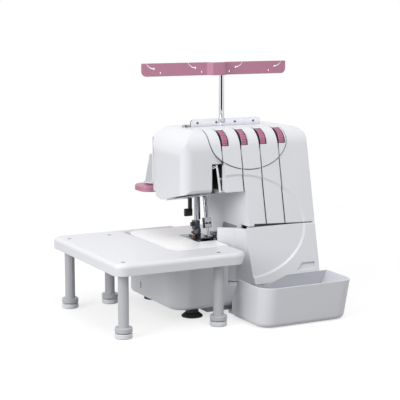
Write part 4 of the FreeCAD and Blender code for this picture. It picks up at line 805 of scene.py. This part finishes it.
def lifter():
    """Presser lifter with a round hub, a softened stem and a thumb paddle."""
    low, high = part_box("presser_lifter")
    pivot = high - spot(9, 6, 6)
    hub = lathe("lifter_hub", pivot, "X", [
        (0, -9 * MM),
        (2.5 * MM, -9 * MM),
        (2.5 * MM, -3 * MM),
        (6 * MM, -3 * MM),
        (6 * MM, 3 * MM),
        (2.5 * MM, 3 * MM),
        (2.5 * MM, 9 * MM),
        (0, 9 * MM),
    ], 32)
    stem = softened(block("lifter_stem", pivot + spot(-3, -3, -52), pivot + spot(3, 3, 0)), 1.2 * MM)
    paddle_low = Vector((low.x, pivot.y - 3 * MM, low.z))
    paddle_high = Vector((pivot.x + 4 * MM, pivot.y + 3 * MM, low.z + 13 * MM))
    paddle = softened(block("lifter_paddle", paddle_low, paddle_high), 1.4 * MM)
    finish_piece(joined("lifter_lever", [smooth(hub), stem, paddle]), "lifter", "black", "presser_lifter")


# guide screw of the presser foot: its place along the foot and its lean
SCREW_Y = 30 * MM
SCREW_LEAN = math.radians(42)


def foot_screw():
    """Brass guide screw that leans out of the presser foot's left side, and its tab."""
    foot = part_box("presser_foot")[0]
    root = Vector((foot.x, SCREW_Y, foot.z))
    base = root + spot(1, 0, 2.2)
    tab = softened(block("guide_tab", root + spot(-6, -4, 0.3), root + spot(0.5, 4, 1.6)), 0.3 * MM)
    screw = lathe("guide_screw", base, "Z", [
        (0, 0),
        (1.2 * MM, 0),
        (1.2 * MM, 1.6 * MM),
        (2.4 * MM, 2.1 * MM),
        (2.6 * MM, 2.6 * MM),
        (2.6 * MM, 3.8 * MM),
        (2.3 * MM, 4.3 * MM),
        (1.1 * MM, 4.8 * MM),
        (1.0 * MM, 8.4 * MM),
        (1.9 * MM, 9.0 * MM),
        (2.1 * MM, 9.5 * MM),
        (2.1 * MM, 11.0 * MM),
        (1.7 * MM, 11.5 * MM),
        (0, 11.8 * MM),
    ], 28)
    edit(screw, "FACE")
    bpy.ops.mesh.select_all(action="SELECT")
    bpy.ops.transform.rotate(value=SCREW_LEAN, orient_axis="Y", center_override=base)
    done()
    finish_piece(joined("guide_screw", [smooth(screw), tab]), "presser", "brass")


def side_latch():
    """Small catch on the seam in the bed's left side."""
    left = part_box("bed_casing")[0].x
    catch = block("side_latch", (left - 0.7 * MM, 74.5 * MM, 30 * MM), (left + 0.5 * MM, 78.5 * MM, 41 * MM))
    edit(catch, "FACE")
    pick_faces(catch, lambda place, normal: normal.x < -0.9)
    bpy.ops.mesh.inset(thickness=0.8 * MM)
    bpy.ops.transform.translate(value=(0.5 * MM, 0, 0))
    done()
    finish_piece(softened(catch, 0.2 * MM), "machine", "base")


def door_gap_shade():
    """Black strip behind the long finger gap above the looper cover, painted shade in the gap."""
    strip = block("door_gap_shade_strip", spot(46, -45.5, 139.7), spot(131, -44.7, 145.5))
    finish_piece(softened(strip, 0.2 * MM), "machine", "black")


def throat_opening_shade():
    """Grey lining at the foot of the throat wall, with its rear top corner rounded: the frame in the low
    opening there, with the opening's shade painted on.
    """
    low, high = spot(36.6, -8, 126), spot(37, 40, 136.8)
    opening_shade = block("throat_opening_shade", low, high)

    def rear_top(one, two):
        return (one - two).length < 0.5 * MM and one.y + one.z > high.y + high.z - 0.1 * MM

    edit(opening_shade, "EDGE")
    pick_edges(opening_shade, rear_top)
    bpy.ops.mesh.bevel(offset=7 * MM, segments=6)
    done()
    finish_piece(softened(opening_shade, 0.12 * MM), "machine", "casting")


def head_plate():
    """Thin bright plate under the head, just inside its lower edge, lower at the rear."""
    plate = block("head_plate", spot(-58.5, -20.5, 192.5), spot(-18.5, 59, 193.7))
    edit(plate, "FACE")
    pick_faces(plate, lambda place, normal: normal.y > 0.9)
    bpy.ops.transform.translate(value=(0, 0, -16.5 * MM))
    done()
    finish_piece(softened(plate, 0.3 * MM), "machine", "steel")


def bar_guard():
    """Dark strip of sheet steel beside the presser bar, from the ankle up into the head."""
    low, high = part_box("presser_bar")
    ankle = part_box("foot_ankle")[1].z
    strip = leaning("bar_guard", (high.x - 0.4 * MM, low.y + 1.2 * MM, ankle + 0.5 * MM),
                    (high.x + 3.6 * MM, low.y + 2.4 * MM, ankle + 48 * MM), (1.2 * MM, 0, 0))
    finish_piece(strip, "presser", "foot_steel")


def surround():
    """Soft studio light that falls mostly from above, white where it is looked at."""
    world = bpy.data.worlds.new("studio")
    bpy.context.scene.world = world
    world.use_nodes = True
    sky = Shading(world.node_tree, "Background", "Generated")
    light = sky.mix(sky.ramp(sky.part("Z"), 0.0, 1.0), grey(HORIZON), grey(ZENITH))
    toward_camera = sky.add("ShaderNodeVectorMath", {"operation": "DOT_PRODUCT"},
                            {0: sky.place, 1: CAMERA_SIDE}, "Value")
    far_floor = sky.ramp(0.0 - toward_camera, *FAR_EDGE) * sky.ramp(0.0 - sky.part("Z"), *LOW_EDGE)
    walls = sky.mix(far_floor, grey(1.0), colour(*FAR_GREY))
    room = sky.mix(sky.ramp(toward_camera, *ROOM_EDGE), walls, colour(*ROOM_DARK))
    mirrored = sky.ray("Is Glossy Ray") - sky.ray("Is Transmission Ray")
    shown = sky.mix(mirrored, grey(1.0), room)
    sky.wear(Color=sky.mix(sky.looked_at(), light, shown), Strength=1.0)


def floor():
    """Pale floor that looks white and keeps the shadow."""
    start()
    bpy.ops.mesh.primitive_plane_add(size=FLOOR_SIZE, location=(0.0, 0.0, FLOOR_TOP))
    ground = bpy.context.object
    ground.name = "floor"
    fixed = {"Roughness": 0.9, "Specular IOR Level": 0.1, "Emission Strength": FLOOR_GLOW}
    paper = Finish("studio_floor", fixed)
    dark, pale = FLOOR_GREYS
    paper.wear(
        Base_Color=paper.mix(paper.noise(40.0), grey(dark), grey(pale)),
        Emission_Color=paper.mix(paper.looked_at(), grey(0.0), grey(1.0)))
    ground.data.materials.append(paper.material)


def lamps():
    """Large soft lamps above the part, at its left and in front."""
    for name, place, size, power in LAMPS:
        lamp = bpy.data.lights.new(name, "AREA")
        lamp.size = size
        lamp.energy = power
        holder = bpy.data.objects.new(name, lamp)
        bpy.context.scene.collection.objects.link(holder)
        holder.location = place
        holder.rotation_euler = (LAMP_AIM - Vector(place)).to_track_quat("-Z", "Y").to_euler()


def camera():
    """Camera at the photograph's angle."""
    scene = bpy.context.scene
    scene.view_settings.view_transform = "Standard"
    view = bpy.data.objects.new("camera", bpy.data.cameras.new("camera"))
    scene.collection.objects.link(view)
    view.location = CAMERA_PLACE
    view.rotation_euler = CAMERA_TURN
    view.data.sensor_width = CAMERA_SENSOR
    view.data.lens = CAMERA_LENS
    scene.camera = view


dress_frame()
tension_dials()
dial_washers_and_gap_shade()
handwheel()
guide_bar()
slot_shade_strips()
panel_seam_shade()
recess_fittings_and_shade()
guide_eyelets()
lifter()
foot_screw()
side_latch()
door_gap_shade()
throat_opening_shade()
head_plate()
bar_guard()
surround()
floor()
lamps()
camera()
